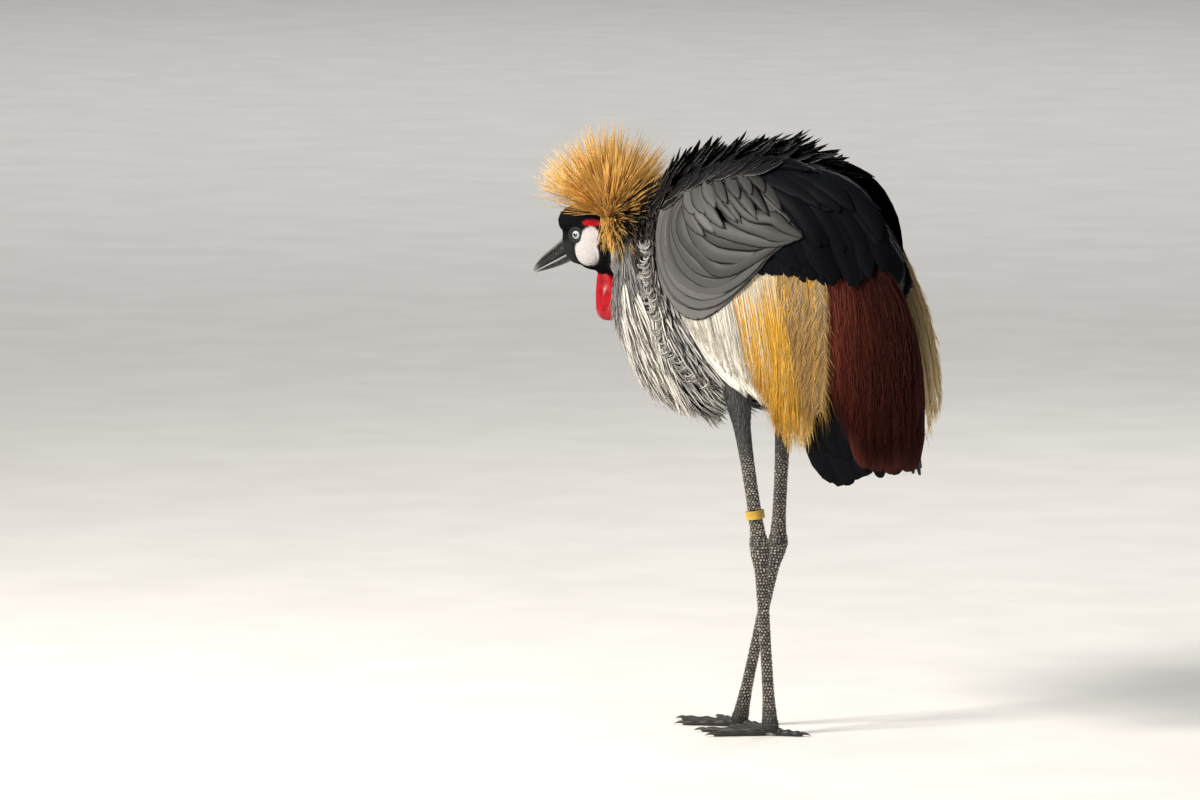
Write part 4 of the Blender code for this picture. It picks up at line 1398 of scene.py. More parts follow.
@dataclass
class Bill:
    """Upper and lower bill."""

    upper: tuple[tuple[Place, Place, float, float], ...] = (
        ((-258, 552.4), (-263, 573), 9.4, 0),
        ((-264.5, 550.4), (-270.5, 569.5), 8.4, 0),
        ((-276, 544.8), (-282.5, 560.4), 6.7, 0),
        ((-291.5, 537.2), (-298, 548.8), 4.8, 0),
        ((-304.5, 530.8), (-309, 538.2), 2.9, 0),
        ((-312.8, 526.6), (-315.2, 529.4), 1.2, 0),
    )
    lower: tuple[tuple[Place, Place, float, float], ...] = (
        ((-252, 541.6), (-255.5, 551.6), 8.8, 0),
        ((-261, 541.2), (-263.8, 549.4), 7.6, 0),
        ((-273.5, 536.2), (-275.3, 543.6), 6.0, 0),
        ((-289.5, 531.0), (-291.3, 536.0), 4.2, 0),
        ((-302.5, 527.6), (-304.3, 529.8), 2.3, 0),
        ((-310.8, 525.4), (-311.6, 526.6), 0.9, 0),
    )
    nostril: Place = (-277.5, 552.8)
    nostril_half: Place = (4.8, 1.9)
    nostril_slant: Place = (0.86, 0.5)
    nostril_depth: float = 2.6

    def make(self) -> None:
        """Build both halves."""
        # 0.8 is the painted highlight along the bill's ridge
        horn = HornFinish("bill_horn", (0.009, 0.010, 0.011), (0.50, 0.49, 0.46), 0.8, 0.2).material()
        for name, rings in (("bill_upper", self.upper), ("bill_lower", self.lower)):
            path = RingPath(rings)

            def shape(share: Array, bearing: Array, path: RingPath = path) -> Array:
                """The surface of one half of the bill."""
                return path.surface(share * path.last, bearing)

            bm, surface = wrapped(40, 80, shape, pointed=True)
            points = bm_points(bm)
            if name == "bill_upper":
                points = self.open_nostrils(points)
            set_points(bm, points)
            put_in(closed_piece(name + "_horn", bm, horn, surface=surface), (name,))

    def open_nostrils(self, points: Array) -> Array:
        """Sink an oval nostril into each side."""
        level, steep = self.nostril_slant
        x, z = points[:, 0] - self.nostril[0], points[:, 2] - self.nostril[1]
        across, up = x * level - z * steep, x * steep + z * level
        far = np.hypot(up / self.nostril_half[0], across / self.nostril_half[1])
        depth = self.nostril_depth * (1 - smooth_step(far, 0.55, 1.0))
        points[:, 1] = points[:, 1] - np.sign(points[:, 1]) * np.minimum(depth, np.abs(points[:, 1]))
        return points


@dataclass
class Eye:
    """One eye with its lids."""

    side: Side
    radius: float = 7.2
    cornea: float = 0.5
    folds: tuple[tuple[float, float, float], ...] = (
        (6.1, 0.85, 20.0),
        (7.9, 1.15, 20.4),
        (9.6, 0.9, 20.2),
    )
    stretch: Place = (0.98, 0.92)
    lid_black: Colour = (0.030, 0.032, 0.034)

    def make(self) -> None:
        """Build the ball and the lids round it."""
        x, out, z = EYE
        sign = self.side.value

        def ball(share: Array, bearing: Array) -> Array:
            """The eyeball, with its front a little raised."""
            polar = np.pi * (0.004 + 0.992 * share)
            ring = self.radius * np.sin(polar)
            ahead = -np.cos(polar) * (self.radius + self.cornea * smooth_step(share, 0.7, 1.0))
            across, above = x + ring * np.cos(bearing), z + ring * np.sin(bearing)
            return np.stack([across, sign * (out + ahead), above], axis=-1)

        bm, surface = wrapped(48, 40, ball, pointed=True)
        name = "eye_" + self.side.word
        piece = closed_piece(name + "_ball", bm, EyeFinish().material(), surface=surface)
        put_in(piece, (name,))
        lids = bmesh.new()
        for ring, thick, height in self.folds:
            self.add_fold(lids, ring, thick, height)
        tint = np.tile(np.array(self.lid_black), (len(lids.verts), 1))
        skin = SkinFinish("lid_skin_" + self.side.word, 1400.0, 0.5, 0.0).material()
        put_in(closed_piece("lids_" + self.side.word, lids, skin, tint))

    def add_fold(self, bm: bmesh.types.BMesh, ring: float, thick: float, height: float) -> None:
        """One soft fold of skin round the eye.

        Args:
            bm: Where it goes.
            ring: Its radius round the eye.
            thick: Its own radius.
            height: How far from the mid-plane its middle lies.
        """
        x, _, z = EYE
        sign = self.side.value
        turn = Matrix.Rotation(math.pi / 2, 4, "Y")
        section = bmesh.ops.create_circle(
            bm, segments=10, radius=thick, matrix=Matrix.Translation((0, sign * height, ring)) @ turn
        )
        edges = list({edge for vert in section["verts"] for edge in vert.link_edges})
        before = set(bm.verts) - set(section["verts"])
        bmesh.ops.spin(
            bm, geom=section["verts"] + edges, cent=(0, 0, 0), axis=(0, 1, 0), angle=2 * math.pi,
            steps=44, use_merge=True,
        )
        for vert in set(bm.verts) - before:
            vert.co.x = x + vert.co.x * self.stretch[0]
            vert.co.z = z + vert.co.z * self.stretch[1]


@dataclass
class Crest:
    """The stiff golden bristles on the crown."""

    root: tuple[float, float, float] = (-205.0, 0.0, 598.0)
    reach: Span = (100, 127)
    directions: int = 700
    bristles: int = 7
    hanging: int = 150
    leans: Span = (-40, 160)
    sideways: float = 0.86
    narrower: float = 0.17
    brown: Colour = (0.20, 0.095, 0.028)
    brown_share: float = 0.12

    def make(self, rng: np.random.Generator) -> None:
        """Grow the bristles as a fan of uneven spikes from one tuft."""
        finish = PlumeFinish(
            "bristle_gold", tip=(1.0, 0.66, 0.22), tip_amount=0.5, tip_start=0.6, root=self.brown,
            root_amount=0.7, root_end=0.12, barbs=60, barb_depth=0.5, roughness=0.42, gloss=0.3,
        )
        crest = Plumage("crest_bristles", finish, "bristle_gold")
        spikes = self.spike_headings()
        lean = np.arctan2(spikes[:, 2], spikes[:, 0])
        reach = rng.uniform(*self.reach, len(spikes)) * (1 - self.narrower * spikes[:, 1] ** 2)
        reach = reach * (0.86 + 0.09 * np.sin(np.clip(lean, 0.17, 2.97)))
        ends = np.array(self.root) + unit(spikes + rng.normal(0, 0.04, spikes.shape)) * reach[:, None]
        tone = rng.uniform(0.72, 1.2, (len(spikes), 1))
        for share, spread_out in ((1.0, 1.0), (0.62, 5.0)):
            crest.add(self.bunch(ends, share, spread_out, tone, rng), BRISTLE)
        self.grow_bunch(crest, rng)
        crest.make(rng, ("crest",))

    def spike_headings(self) -> Array:
        """Directions of the spikes, spread evenly over the fan."""
        index = np.arange(self.directions) + 0.5
        across = 1 - 2 * index / len(index)
        turn = index * math.pi * (3 - math.sqrt(5))
        ring = np.sqrt(1 - across * across)
        heading = np.stack([ring * np.cos(turn), across, ring * np.sin(turn)], axis=-1)
        lean = np.degrees(np.arctan2(heading[:, 2], heading[:, 0]))
        keep = (lean > self.leans[0]) & (lean < self.leans[1]) & (np.abs(across) < self.sideways)
        keep &= ~((heading[:, 0] > 0.25) & (heading[:, 2] < 0.35) & (np.abs(across) < 0.5))
        return heading[keep]

    def bunch(
        self, ends: Array, share: float, spread_out: float, tone: Array, rng: np.random.Generator
    ) -> Growth:
        """Bristles that start apart and come together at the end of their spike.

        Args:
            ends: Where the spikes end.
            share: How much of the spike's length the bristles reach.
            spread_out: How far apart their ends are.
            tone: How light each spike is.
            rng: Source of the random draws.

        Returns:
            The bristles.
        """
        end = np.repeat(np.array(self.root) + (ends - self.root) * share, self.bristles, axis=0)
        end = end + rng.normal(0, spread_out, end.shape)
        root = np.array(self.root) + unit(end - self.root) * 4 + rng.normal(0, 2.6, end.shape)
        heading = unit(end - root)
        up = unit(np.array([0.1, 0, 1.0]) - heading * heading[:, 2:3] + rng.normal(0, 0.1, end.shape))
        growth = Growth.grow(
            (root, up, heading), rng, BRISTLE_GOLD, (0.84, 1.03), (1.2, 1.9), lift=(-1, 1),
            curl=(-2, 3), sweep=(-1, 1), wave=(0, 1.2),
        )
        growth.length = growth.length * np.linalg.norm(end - root, axis=1)
        growth.tint[:, :3] *= np.repeat(tone, self.bristles, axis=0)
        dark = rng.uniform(0, 1, len(end)) < self.brown_share
        growth.tint[dark, :3] = self.brown
        return growth

    def grow_bunch(self, crest: Plumage, rng: np.random.Generator) -> None:
        """The bunch that hangs down behind each cheek."""
        count = self.hanging
        for side in Side:
            hand = side.value
            ahead, out, down = rng.uniform((-5, 6, -9), (12, 16, 4), (count, 3)).T
            root = np.array(self.root) + np.stack([ahead, hand * out, down], axis=-1)
            ahead, out = rng.uniform((-0.1, 0.3), (0.95, 0.6), (count, 2)).T
            heading = unit(np.stack([ahead, hand * out, -np.ones(count)], axis=-1))
            normal = np.tile(np.array([0.0, hand, 0.2]), (count, 1))
            tint = np.array(BRISTLE_GOLD) * rng.uniform(0.45, 1.05, (count, 1))
            seats = (root, normal, heading)
            bunch = Growth.grow(seats, rng, tint, (24, 44), (1.1, 1.7), (2, 12), (-6, 6), wave=(0, 3))
            crest.add(bunch, BRISTLE)


@dataclass
class Wattle:
    """The crimson wattle under the throat."""

    rings: tuple[tuple[Place, Place, float, float], ...] = (
        ((-222, 534), (-205, 532), 4.0, 0),
        ((-224, 522), (-199, 520), 6.0, 0),
        ((-225, 508), (-195.5, 507), 8.0, 0),
        ((-225, 495), (-193.5, 494), 9.0, 0),
        ((-224, 485), (-194, 484.5), 8.8, 0),
        ((-220.5, 477.5), (-198, 477), 6.8, 0),
        ((-214, 474), (-204, 473.8), 3.0, 0),
    )

    def make(self) -> None:
        """Build it with a shallow fold down each side."""
        path = RingPath(self.rings)

        def shape(share: Array, bearing: Array) -> Array:
            """The lobe and its folds."""
            points = path.surface(share * path.last, bearing)
            fold = np.exp(-(((np.abs(bearing) - 1.1 - 1.1 * share) / 0.24) ** 2))
            held = smooth_step(share, 0.2, 0.4) * (1 - smooth_step(share, 0.75, 0.92))
            points[:, 1] *= 1 + 0.22 * fold * held
            points[:, 1] += 0.5 * np.sin(share * 21) * np.sin(bearing) * 0.6
            return points

        bm, surface = wrapped(48, 70, shape, pointed=True)
        piece = closed_piece("wattle_skin", bm, WattleFinish().material(), surface=surface)
        put_in(piece, ("wattle",))


@dataclass(frozen=True)
class WingShell:
    """How far a folded wing's outer face lies from the mid-plane, over the side view.

    The table has a row for each height in `rows` and a column for each x in `columns`.
    """

    columns: tuple[float, ...] = (-115, -90, -60, -20, 30, 80, 130, 170, 205, 240, 280)
    rows: tuple[float, ...] = (690, 665, 640, 610, 570, 530, 490, 440, 380, 310)
    table: tuple[tuple[float, ...], ...] = (
        (8, 14, 22, 30, 34, 32, 26, 20, 14, 10, 8),
        (16, 28, 40, 54, 60, 56, 44, 32, 22, 16, 12),
        (26, 44, 61, 73, 79, 75, 61, 45, 32, 22, 16),
        (36, 59, 76, 86, 90, 86, 72, 54, 40, 28, 20),
        (42, 68, 83, 91, 93, 90, 78, 60, 45, 34, 26),
        (38, 64, 81, 90, 93, 90, 79, 63, 50, 40, 32),
        (30, 54, 74, 85, 89, 87, 78, 65, 54, 45, 38),
        (24, 45, 66, 79, 84, 83, 76, 65, 56, 48, 42),
        (20, 39, 58, 73, 79, 79, 73, 64, 56, 50, 44),
        (18, 35, 52, 67, 74, 75, 70, 62, 55, 49, 44),
    )
    step: float = 4.0
    reach: float = 6.0

    @cached_property
    def grid(self) -> tuple[Array, Array, Array]:
        """A fine grid of the face: its x values, its heights and its distances."""
        x = np.arange(self.columns[0], self.columns[-1] + 1, self.step)
        z = np.arange(self.rows[-1], self.rows[0] + 1, self.step)
        column = np.interp(x, self.columns, np.arange(len(self.columns)))
        row = np.interp(-z, -np.array(self.rows), np.arange(len(self.rows)))
        coarse = smooth_rows(np.array(self.table, float), row)
        return x, z, smooth_rows(coarse.T, column).T

    def out(self, x: Array, z: Array) -> Array:
        """Distances from the mid-plane at places in the side view."""
        columns, rows, grid = self.grid
        across = np.clip((x - columns[0]) / self.step, 0, len(columns) - 1.001)
        above = np.clip((z - rows[0]) / self.step, 0, len(rows) - 1.001)
        column, row = across.astype(int), above.astype(int)
        part, rise = across - column, above - row
        low = grid[row, column] * (1 - part) + grid[row, column + 1] * part
        high = grid[row + 1, column] * (1 - part) + grid[row + 1, column + 1] * part
        return low * (1 - rise) + high * rise

    def normal(self, x: Array, z: Array, hand: Array) -> Array:
        """Outward directions of the face; `hand` is the side's sign."""
        along = (self.out(x + self.reach, z) - self.out(x - self.reach, z)) / (2 * self.reach)
        up = (self.out(x, z + self.reach) - self.out(x, z - self.reach)) / (2 * self.reach)
        return unit(np.stack([-along, np.broadcast_to(hand, along.shape), -up], axis=-1))

    def seats(self, root: Array, layer: Array, hand: Array) -> tuple[Array, Array]:
        """Places over the face and their outward directions; `hand` is the side's sign."""
        out = hand * (self.out(root[:, 0], root[:, 1]) + layer)
        return np.stack([root[:, 0], out, root[:, 1]], axis=-1), np.outer(hand, (0.0, 1.0, 0.0))


@dataclass
class Draped(Growth):
    """Feathers that follow a wing's outer face.

    Here lift and curl are slopes away from the face, and the sweep is a turn in the side
    view. Feathers with a course follow its places in the side view instead.
    """

    shell: WingShell | None = None
    course: Array | None = None

    def part(self, start: int, end: int) -> Growth:
        """The feathers from one number up to another."""
        kept = super().part(start, end)
        if self.course is not None:
            kept.course = self.course[start:end]
        return kept

    def plan(self, shares: Array) -> Array:
        """The x and z of every shaft at the shares of its length."""
        if self.course is not None:
            rows = np.moveaxis(self.course, 1, 0)
            flat = smooth_rows(rows.reshape(len(rows), -1), shares * (len(rows) - 1))
            return np.moveaxis(flat.reshape(len(shares), -1, 2), 0, 1)
        middles = (shares[1:] + shares[:-1]) / 2
        turn = self.sweep[:, None] * middles
        turn = turn + self.wave[:, None] * np.sin(WAVE_TURN * middles + self.phase[:, None])
        angle = np.arctan2(self.heading[:, 2:], self.heading[:, :1]) + np.radians(turn)
        steps = lie(np.degrees(angle)) * (np.diff(shares) * self.length[:, None])[..., None]
        return self.run_on(steps)[..., ::2]

    def frames(self, shares: Array) -> tuple[Array, Array, Array, Array]:
        """Follow every feather's shaft over the face.

        Args:
            shares: Shares of the length, from 0 up.

        Returns:
            Points, directions ahead, directions across and directions up at each share.
        """
        x, z = np.moveaxis(self.plan(shares), -1, 0)
        hand = self.hand[:, None]
        above = hand * self.root[:, 1:2] - self.shell.out(x[:, :1], z[:, :1])
        slope = np.sin(np.radians(self.lift))[:, None] * shares
        slope = slope + 0.5 * np.sin(np.radians(self.curl))[:, None] * shares * shares
        out = self.shell.out(x, z) + above + slope * self.length[:, None]
        points = np.stack([x, hand * out, z], axis=-1)
        ahead = unit(np.gradient(points, shares, axis=1))
        side = unit(np.cross(ahead, self.shell.normal(x, z, hand)))
        return points, ahead, *self.rolled(side, np.cross(side, ahead))


@dataclass(frozen=True)
class Fan:
    """A tier of feathers in the side view, from a line of roots to a line of tips.

    `bend` is the turn from root to tip of its first and last feather, in degrees, `wave` is
    how far a shaft snakes, and `layer` is how far over the wing's face it lies. With a
    `clump`, so many neighbours at a time come together at their tips, by the share
    `gather`, and have one length and tone.
    """

    form: VaneForm
    roots: tuple[Place, ...]
    tips: tuple[Place, ...]
    count: int
    width: Span
    bend: Span = (0, 0)
    layer: float = 0.0
    lift: Span = (0.6, 1.4)
    curl: Span = (-1.0, 0.0)
    roll: Span = (5, 10)
    jitter: float = 1.5
    clump: int = 0
    gather: float = 0.7
    wave: Span = (0, 2)

    def grow(
        self, shell: WingShell, side: Side, tuck: Place, rng: np.random.Generator, tint: Array | Colour
    ) -> Growth:
        """Grow the tier on a wing.

        Args:
            shell: The wing's outer face.
            side: Which wing.
            tuck: How much of its reach to the rear the wing keeps, and how far its rear drops.
            rng: Source of the random draws.
            tint: The feathers' colour, or one for each.

        Returns:
            The group of feathers.
        """
        share = (np.arange(self.count) + rng.uniform(0.3, 0.7, self.count)) / self.count
        number = np.arange(self.count) // max(self.clump, 1)
        uneven = rng.uniform(-1, 1, (number[-1] + 1, 2))[number] * (self.clump > 0)
        middle = np.minimum((number + 0.5) * self.clump / self.count, 1.0)
        end = share + (middle - share) * self.gather * (self.clump > 0)
        root = along_line(self.roots, share) + rng.normal(0, self.jitter, (self.count, 2))
        tip = along_line(self.tips, end) + rng.normal(0, self.jitter, (self.count, 2))
        for line in (root, tip):
            line[:, 1] -= tuck[1] * smooth_step(line[:, 0], 50, 150) * smooth_step(line[:, 1], 380, 500)
            line[:, 0] = np.where(line[:, 0] > REAR, REAR + (line[:, 0] - REAR) * tuck[0], line[:, 0])
        chord = tip - root
        bend = np.interp(share, (0, 1), self.bend)
        angle = np.degrees(np.arctan2(chord[:, 1], chord[:, 0])) - bend / 2
        length = np.hypot(*chord.T) * (1 + np.radians(bend) ** 2 / 24)
        hand = np.full(self.count, float(side.value))
        seats = shell.seats(root, self.layer + rng.normal(0, 0.4, self.count), hand)
        growth = Draped.grow(
            (*seats, lie(angle)), rng, tint, (1, 1), self.width, self.lift, self.curl,
            (0, 0), self.roll, self.wave, hand,
        )
        growth.sweep = bend + 8 * uneven[:, 0]
        growth.length = length * rng.uniform(0.97, 1.03, self.count) * (1 + 0.07 * uneven[:, 0])
        growth.tint[:, :3] *= 1 + 0.35 * uneven[:, 1:]
        growth.shell = shell
        return growth


@dataclass(frozen=True)
class Swirl:
    """Nested feathers in the side view, from an outer course to an inner one.

    A course is a line of places from root to tip, and `layer` is how far over the wing's
    face the first and the last feather lie.
    """

    form: VaneForm
    outer: tuple[Place, ...]
    inner: tuple[Place, ...]
    count: int
    width: Span
    layer: Span
    roll: Span = (4, 8)
    jitter: float = 1.0

    def grow(self, shell: WingShell, side: Side, rng: np.random.Generator, tint: Array) -> Growth:
        """Grow the feathers on a wing.

        Args:
            shell: The wing's outer face.
            side: Which wing.
            rng: Source of the random draws.
            tint: A colour for each feather.

        Returns:
            The group of feathers.
        """
        share = (np.arange(self.count) + rng.uniform(0.3, 0.7, self.count)) / self.count
        course = np.array(self.outer) + (np.array(self.inner) - self.outer) * share[:, None, None]
        course = course + rng.normal(0, self.jitter, course.shape)
        root, ahead = course[:, 0], course[:, 1] - course[:, 0]
        hand = np.full(self.count, float(side.value))
        seats = shell.seats(root, np.interp(share, (0, 1), self.layer), hand)
        angle = np.degrees(np.arctan2(ahead[:, 1], ahead[:, 0]))
        growth = Draped.grow(
            (*seats, lie(angle)), rng, tint, (1, 1), self.width, (0.2, 0.8), (-1, 0),
            (0, 0), self.roll, (0, 0), hand,
        )
        growth.length = np.sum(np.linalg.norm(np.diff(course, axis=1), axis=-1), axis=1)
        growth.shell = shell
        growth.course = course
        return growth


def along_line(line: tuple[Place, ...], share: Array) -> Array:
    """Points at shares of the way along a line of places."""
    corners = np.array(line, float)
    ways = np.concatenate([[0], np.cumsum(np.hypot(*np.diff(corners, axis=0).T))])
    at = share * ways[-1]
    return np.stack([np.interp(at, ways, corners[:, 0]), np.interp(at, ways, corners[:, 1])], axis=-1)


@dataclass
class Wing:
    """One folded wing: a dark base and its tiers of feathers."""

    side: Side
    rings: tuple[tuple[Place, Place, float, float], ...] = (
        ((-101, 566), (-98, 594), 7, 56),
        ((-98, 552), (-93, 606), 15, 55),
        ((-78, 520), (-64, 632), 34, 50),
        ((-38, 488), (-24, 656), 43, 46),
        ((20, 458), (34, 668), 49, 44),
        ((84, 450), (92, 662), 47, 42),
        ((146, 468), (152, 634), 40, 33),
        ((184, 500), (188, 600), 28, 20),
        ((206, 540), (208, 570), 8, 13),
    )
    shell: WingShell = WingShell()
    base_inset: float = 8.0
    far_tuck: Place = (0.25, 16.0)

    @property
    def tuck(self) -> Place:
        """How much of its reach to the rear this wing keeps, and how far its rear drops."""
        return self.far_tuck if self.side is Side.RIGHT else (1.0, 0.0)

    def base_shape(self, share: Array, bearing: Array) -> Array:
        """The wing's base, under the feathers."""
        path = RingPath(self.rings, self.side.value)
        points = path.surface(share * path.last, bearing, self.base_inset)
        behind = points[:, 0] > REAR
        points[behind, 0] = REAR + (points[behind, 0] - REAR) * self.tuck[0]
        return points

    def make(self, rng: np.random.Generator) -> None:
        """Build the base and grow its feathers."""
        word = self.side.word
        bm, _ = wrapped(48, 90, self.base_shape)
        tint = np.tile(np.array(BLACK), (len(bm.verts), 1))
        base = closed_piece(f"wing_{word}_base", bm, SkinFinish("wing_base_" + word).material(), tint)
        put_in(base, ("wing_" + word,))
        self.grow_black(rng)
        self.grow_white(rng)
        self.grow_gold(rng)
        self.grow_chestnut(rng)
        self.grow_grey(rng)

    def grow(self, coat: Plumage, fan: Fan, rng: np.random.Generator, tint: Array | Colour) -> Growth:
        """Grow one tier into a coat."""
        return coat.add(fan.grow(self.shell, self.side, self.tuck, rng, tint), fan.form)

    def grow_grey(self, rng: np.random.Generator) -> None:
        """The grey coverts: long curved feathers that sweep down and back, with painted light and shade:
        lighter in front, darker towards the rear and in the fan beneath, and black edges for the shade in
        the gaps between them.
        """
        # Painted shade: the black edges stand for the shadow in the gaps between the feathers.
        finish = PlumeFinish(
            "covert_grey_" + self.side.word, edge=BLACK, edge_amount=0.95, edge_start=0.8,
            root=BLACK, root_amount=0.4, root_end=0.15, shaft=(0.05, 0.05, 0.05), shaft_amount=0.2,
            barb_depth=0.12, bump=0.15, barbs=150, roughness=0.5, gloss=0.22,
        )
        grey = Plumage(f"wing_{self.side.word}_coverts", finish, "plumage_grey")
        rim = ((-66, 640), (-101, 608), (-104, 562), (-80, 520), (-34, 499), (16, 521), (58, 562))
        waist = ((-42, 650), (-66, 622), (-68, 586), (-46, 550), (-4, 534), (42, 550), (84, 580))
        heart = ((-4, 658), (-22, 638), (-18, 612), (6, 594), (40, 584), (78, 587), (114, 597))
        brow = ((-14, 656), (6, 650), (32, 640), (60, 628), (86, 614), (104, 604), (118, 598))
        crown = ((-8, 668), (22, 674), (54, 673), (82, 662), (102, 644), (114, 622), (120, 604))
        top = ((-58, 640), (-30, 656), (4, 666), (34, 668))
        fans = (
            Fan(PETAL, ((-80, 560), (-30, 570)), ((-58, 508), (-30, 497), (6, 514)),
                count=6, width=(26, 30), bend=(40, 10), layer=4),
            Fan(PETAL, ((-74, 600), (-30, 640)), ((-30, 530), (30, 556), (80, 584)),
                count=8, width=(24, 28), bend=(110, 60), layer=3),
        )
        # Painted shade: the second fan, which lies beneath the first, is darkened to 0.4.
        for fan, light in zip(fans, (1.0, 0.4)):
            self.grow(grey, fan, rng, np.array(ASH) * light * rng.uniform(0.85, 1.15, (fan.count, 1)))
        swirls = (
            (Swirl(LONG_PETAL, crown, brow, 6, (17, 21), (5, 7), jitter=2.5), (0.3, 0.6)),
            (Swirl(LONG_PETAL, rim, waist, 9, (19, 24), (5.5, 7.5), jitter=2), (1.7, 1.1)),
            (Swirl(LONG_PETAL, waist, heart, 5, (17, 23), (8, 9), (8, 14), 3), (1.1, 0.7)),
            (Swirl(LONG_PETAL, heart, brow, 3, (17, 22), (9, 10), (10, 16), 3), (0.8, 0.6)),
        )
        # Painted light and shade: each swirl's grey runs from its outer to its inner feather, lightest on
        # the front rim.
        for swirl, painted_shading in swirls:
            light = np.linspace(*painted_shading, swirl.count)[:, None] * rng.uniform(0.8, 1.2, (swirl.count, 1))
            grey.add(swirl.grow(self.shell, self.side, rng, np.array(ASH) * light), swirl.form)
        caps = (
            Fan(SPEAR, top, ((-14, 592), (26, 600), (64, 612), (98, 620)),
                count=8, width=(17, 21), bend=(50, -40), layer=10.5, roll=(8, 16)),
            Fan(SPEAR, top, ((-32, 612), (4, 624), (40, 636), (72, 646)),
                count=7, width=(15, 19), bend=(40, -40), layer=12.5, roll=(8, 16)),
        )
        # Painted light and shade: each cap runs from lit grey in front to dark grey at the rear.
        for fan in caps:
            light = np.linspace(1.3, 0.35, fan.count)[:, None] * rng.uniform(0.7, 1.3, (fan.count, 1))
            self.grow(grey, fan, rng, np.array(ASH) * light)
        grey.make(rng)

    def grow_black(self, rng: np.random.Generator) -> None:
        """Blue-black tertials behind the coverts, primaries below, and spiky scapulars."""
        finish = PlumeFinish(
            "tertial_black_" + self.side.word, edge=(0.02, 0.024, 0.034), edge_amount=0.5,
            edge_start=0.92, barb_depth=0.25, bump=0.2, barbs=170, roughness=0.48, gloss=0.04,
        )
        black = Plumage(f"wing_{self.side.word}_tertials", finish, "plumage_black")
        fans = (
            Fan(PADDLE, ((84, 500), (126, 500)), ((134, 322), (154, 306), (172, 308), (186, 322)),
                count=6, width=(30, 36), bend=(14, 4), layer=-7),
            Fan(PADDLE, ((96, 510), (134, 510)), ((136, 350), (158, 340), (178, 346)),
                count=4, width=(30, 36), bend=(14, 4), layer=-5),
            Fan(BLADE, ((30, 596), (130, 610)), ((44, 548), (76, 550), (108, 548), (146, 540)),
                count=10, width=(28, 34), bend=(-6, -30), layer=4),
            Fan(BLADE, ((10, 655), (60, 672), (108, 666)), ((100, 560), (142, 544), (180, 540), (208, 556)),
                count=12, width=(29, 35), bend=(-30, -80), layer=5.5),
            Fan(BLADE, ((20, 668), (70, 674), (108, 668)), ((122, 596), (158, 578), (188, 582), (206, 596)),
                count=9, width=(26, 32), bend=(-40, -66), layer=7),
            Fan(BLADE, ((-10, 670), (60, 676)), ((108, 646), (140, 624), (176, 626)),
                count=8, width=(22, 27), bend=(-30, -46), layer=8.5),
            Fan(SPEAR, ((-60, 656), (30, 680)), ((10, 674), (66, 674), (130, 666)),
                count=12, width=(14, 18), bend=(-16, -26), layer=9.5, lift=(2, 5)),
        )
        for fan in fans:
            self.grow(black, fan, rng, np.array(INK) * rng.uniform(0.7, 1.5, (fan.count, 1)))
        black.make(rng)
        finish = rimmed_black("scapular_black_" + self.side.word)
        scapulars = Plumage(f"wing_{self.side.word}_scapulars", finish, "plumage_slate")
        fans = (
            Fan(SPEAR, ((-98, 610), (-66, 642), (0, 662)), ((-66, 644), (-20, 668), (52, 672)),
                count=11, width=(14, 18), bend=(30, 50), layer=10, lift=(3, 7)),
            Fan(SPEAR, ((-90, 624), (-46, 654), (20, 668)), ((-52, 660), (-2, 680), (80, 682)),
                count=12, width=(13, 17), bend=(30, 50), layer=12.5, lift=(4, 9)),
        )
        for fan in fans:
            self.grow(scapulars, fan, rng, BLACK)
        scapulars.make(rng)

    def grow_white(self, rng: np.random.Generator) -> None:
        """White coverts below the grey ones, with fine strands over them."""
        finish = PlumeFinish(
            "covert_white_" + self.side.word, edge=(0.55, 0.53, 0.50), edge_amount=0.35,
            edge_start=0.88, shaft=(0.45, 0.42, 0.36), shaft_amount=0.3, barb_depth=0.10, bump=0.2,
            barbs=140, roughness=0.65, sheen=0.2,
        )
        white = Plumage(f"wing_{self.side.word}_white", finish, "plumage_white")
        fans = (
            Fan(PETAL, ((-88, 556), (-50, 550), (0, 560), (70, 574)),
                ((24, 410), (52, 398), (76, 392), (94, 402)),
                count=20, width=(25, 31), bend=(14, -6), layer=-2),
            Fan(PETAL, ((-88, 560), (-40, 560), (40, 574)), ((-16, 450), (20, 428), (60, 422), (84, 430)),
                count=19, width=(23, 28), bend=(10, -6), layer=0),
            Fan(PETAL, ((-92, 560), (-20, 564), (60, 578)), ((-60, 506), (-24, 476), (22, 470), (70, 480)),
                count=18, width=(20, 24), bend=(6, -6), layer=1.5),
        )
        for fan in fans:
            self.grow(white, fan, rng, np.array(CREAM) * rng.uniform(0.94, 1.08, (fan.count, 1)))
        hair = Fan(
            LONG_STRAND, ((-84, 555), (60, 572)), ((-40, 476), (40, 410), (84, 410)),
            count=300, width=(0.8, 1.4), bend=(8, -6), layer=2.5, lift=(0, 1.2), jitter=3, clump=10,
        )
        self.grow(white, hair, rng, np.array(CREAM) * rng.uniform(0.85, 1.05, (hair.count, 1)))
        white.make(rng)

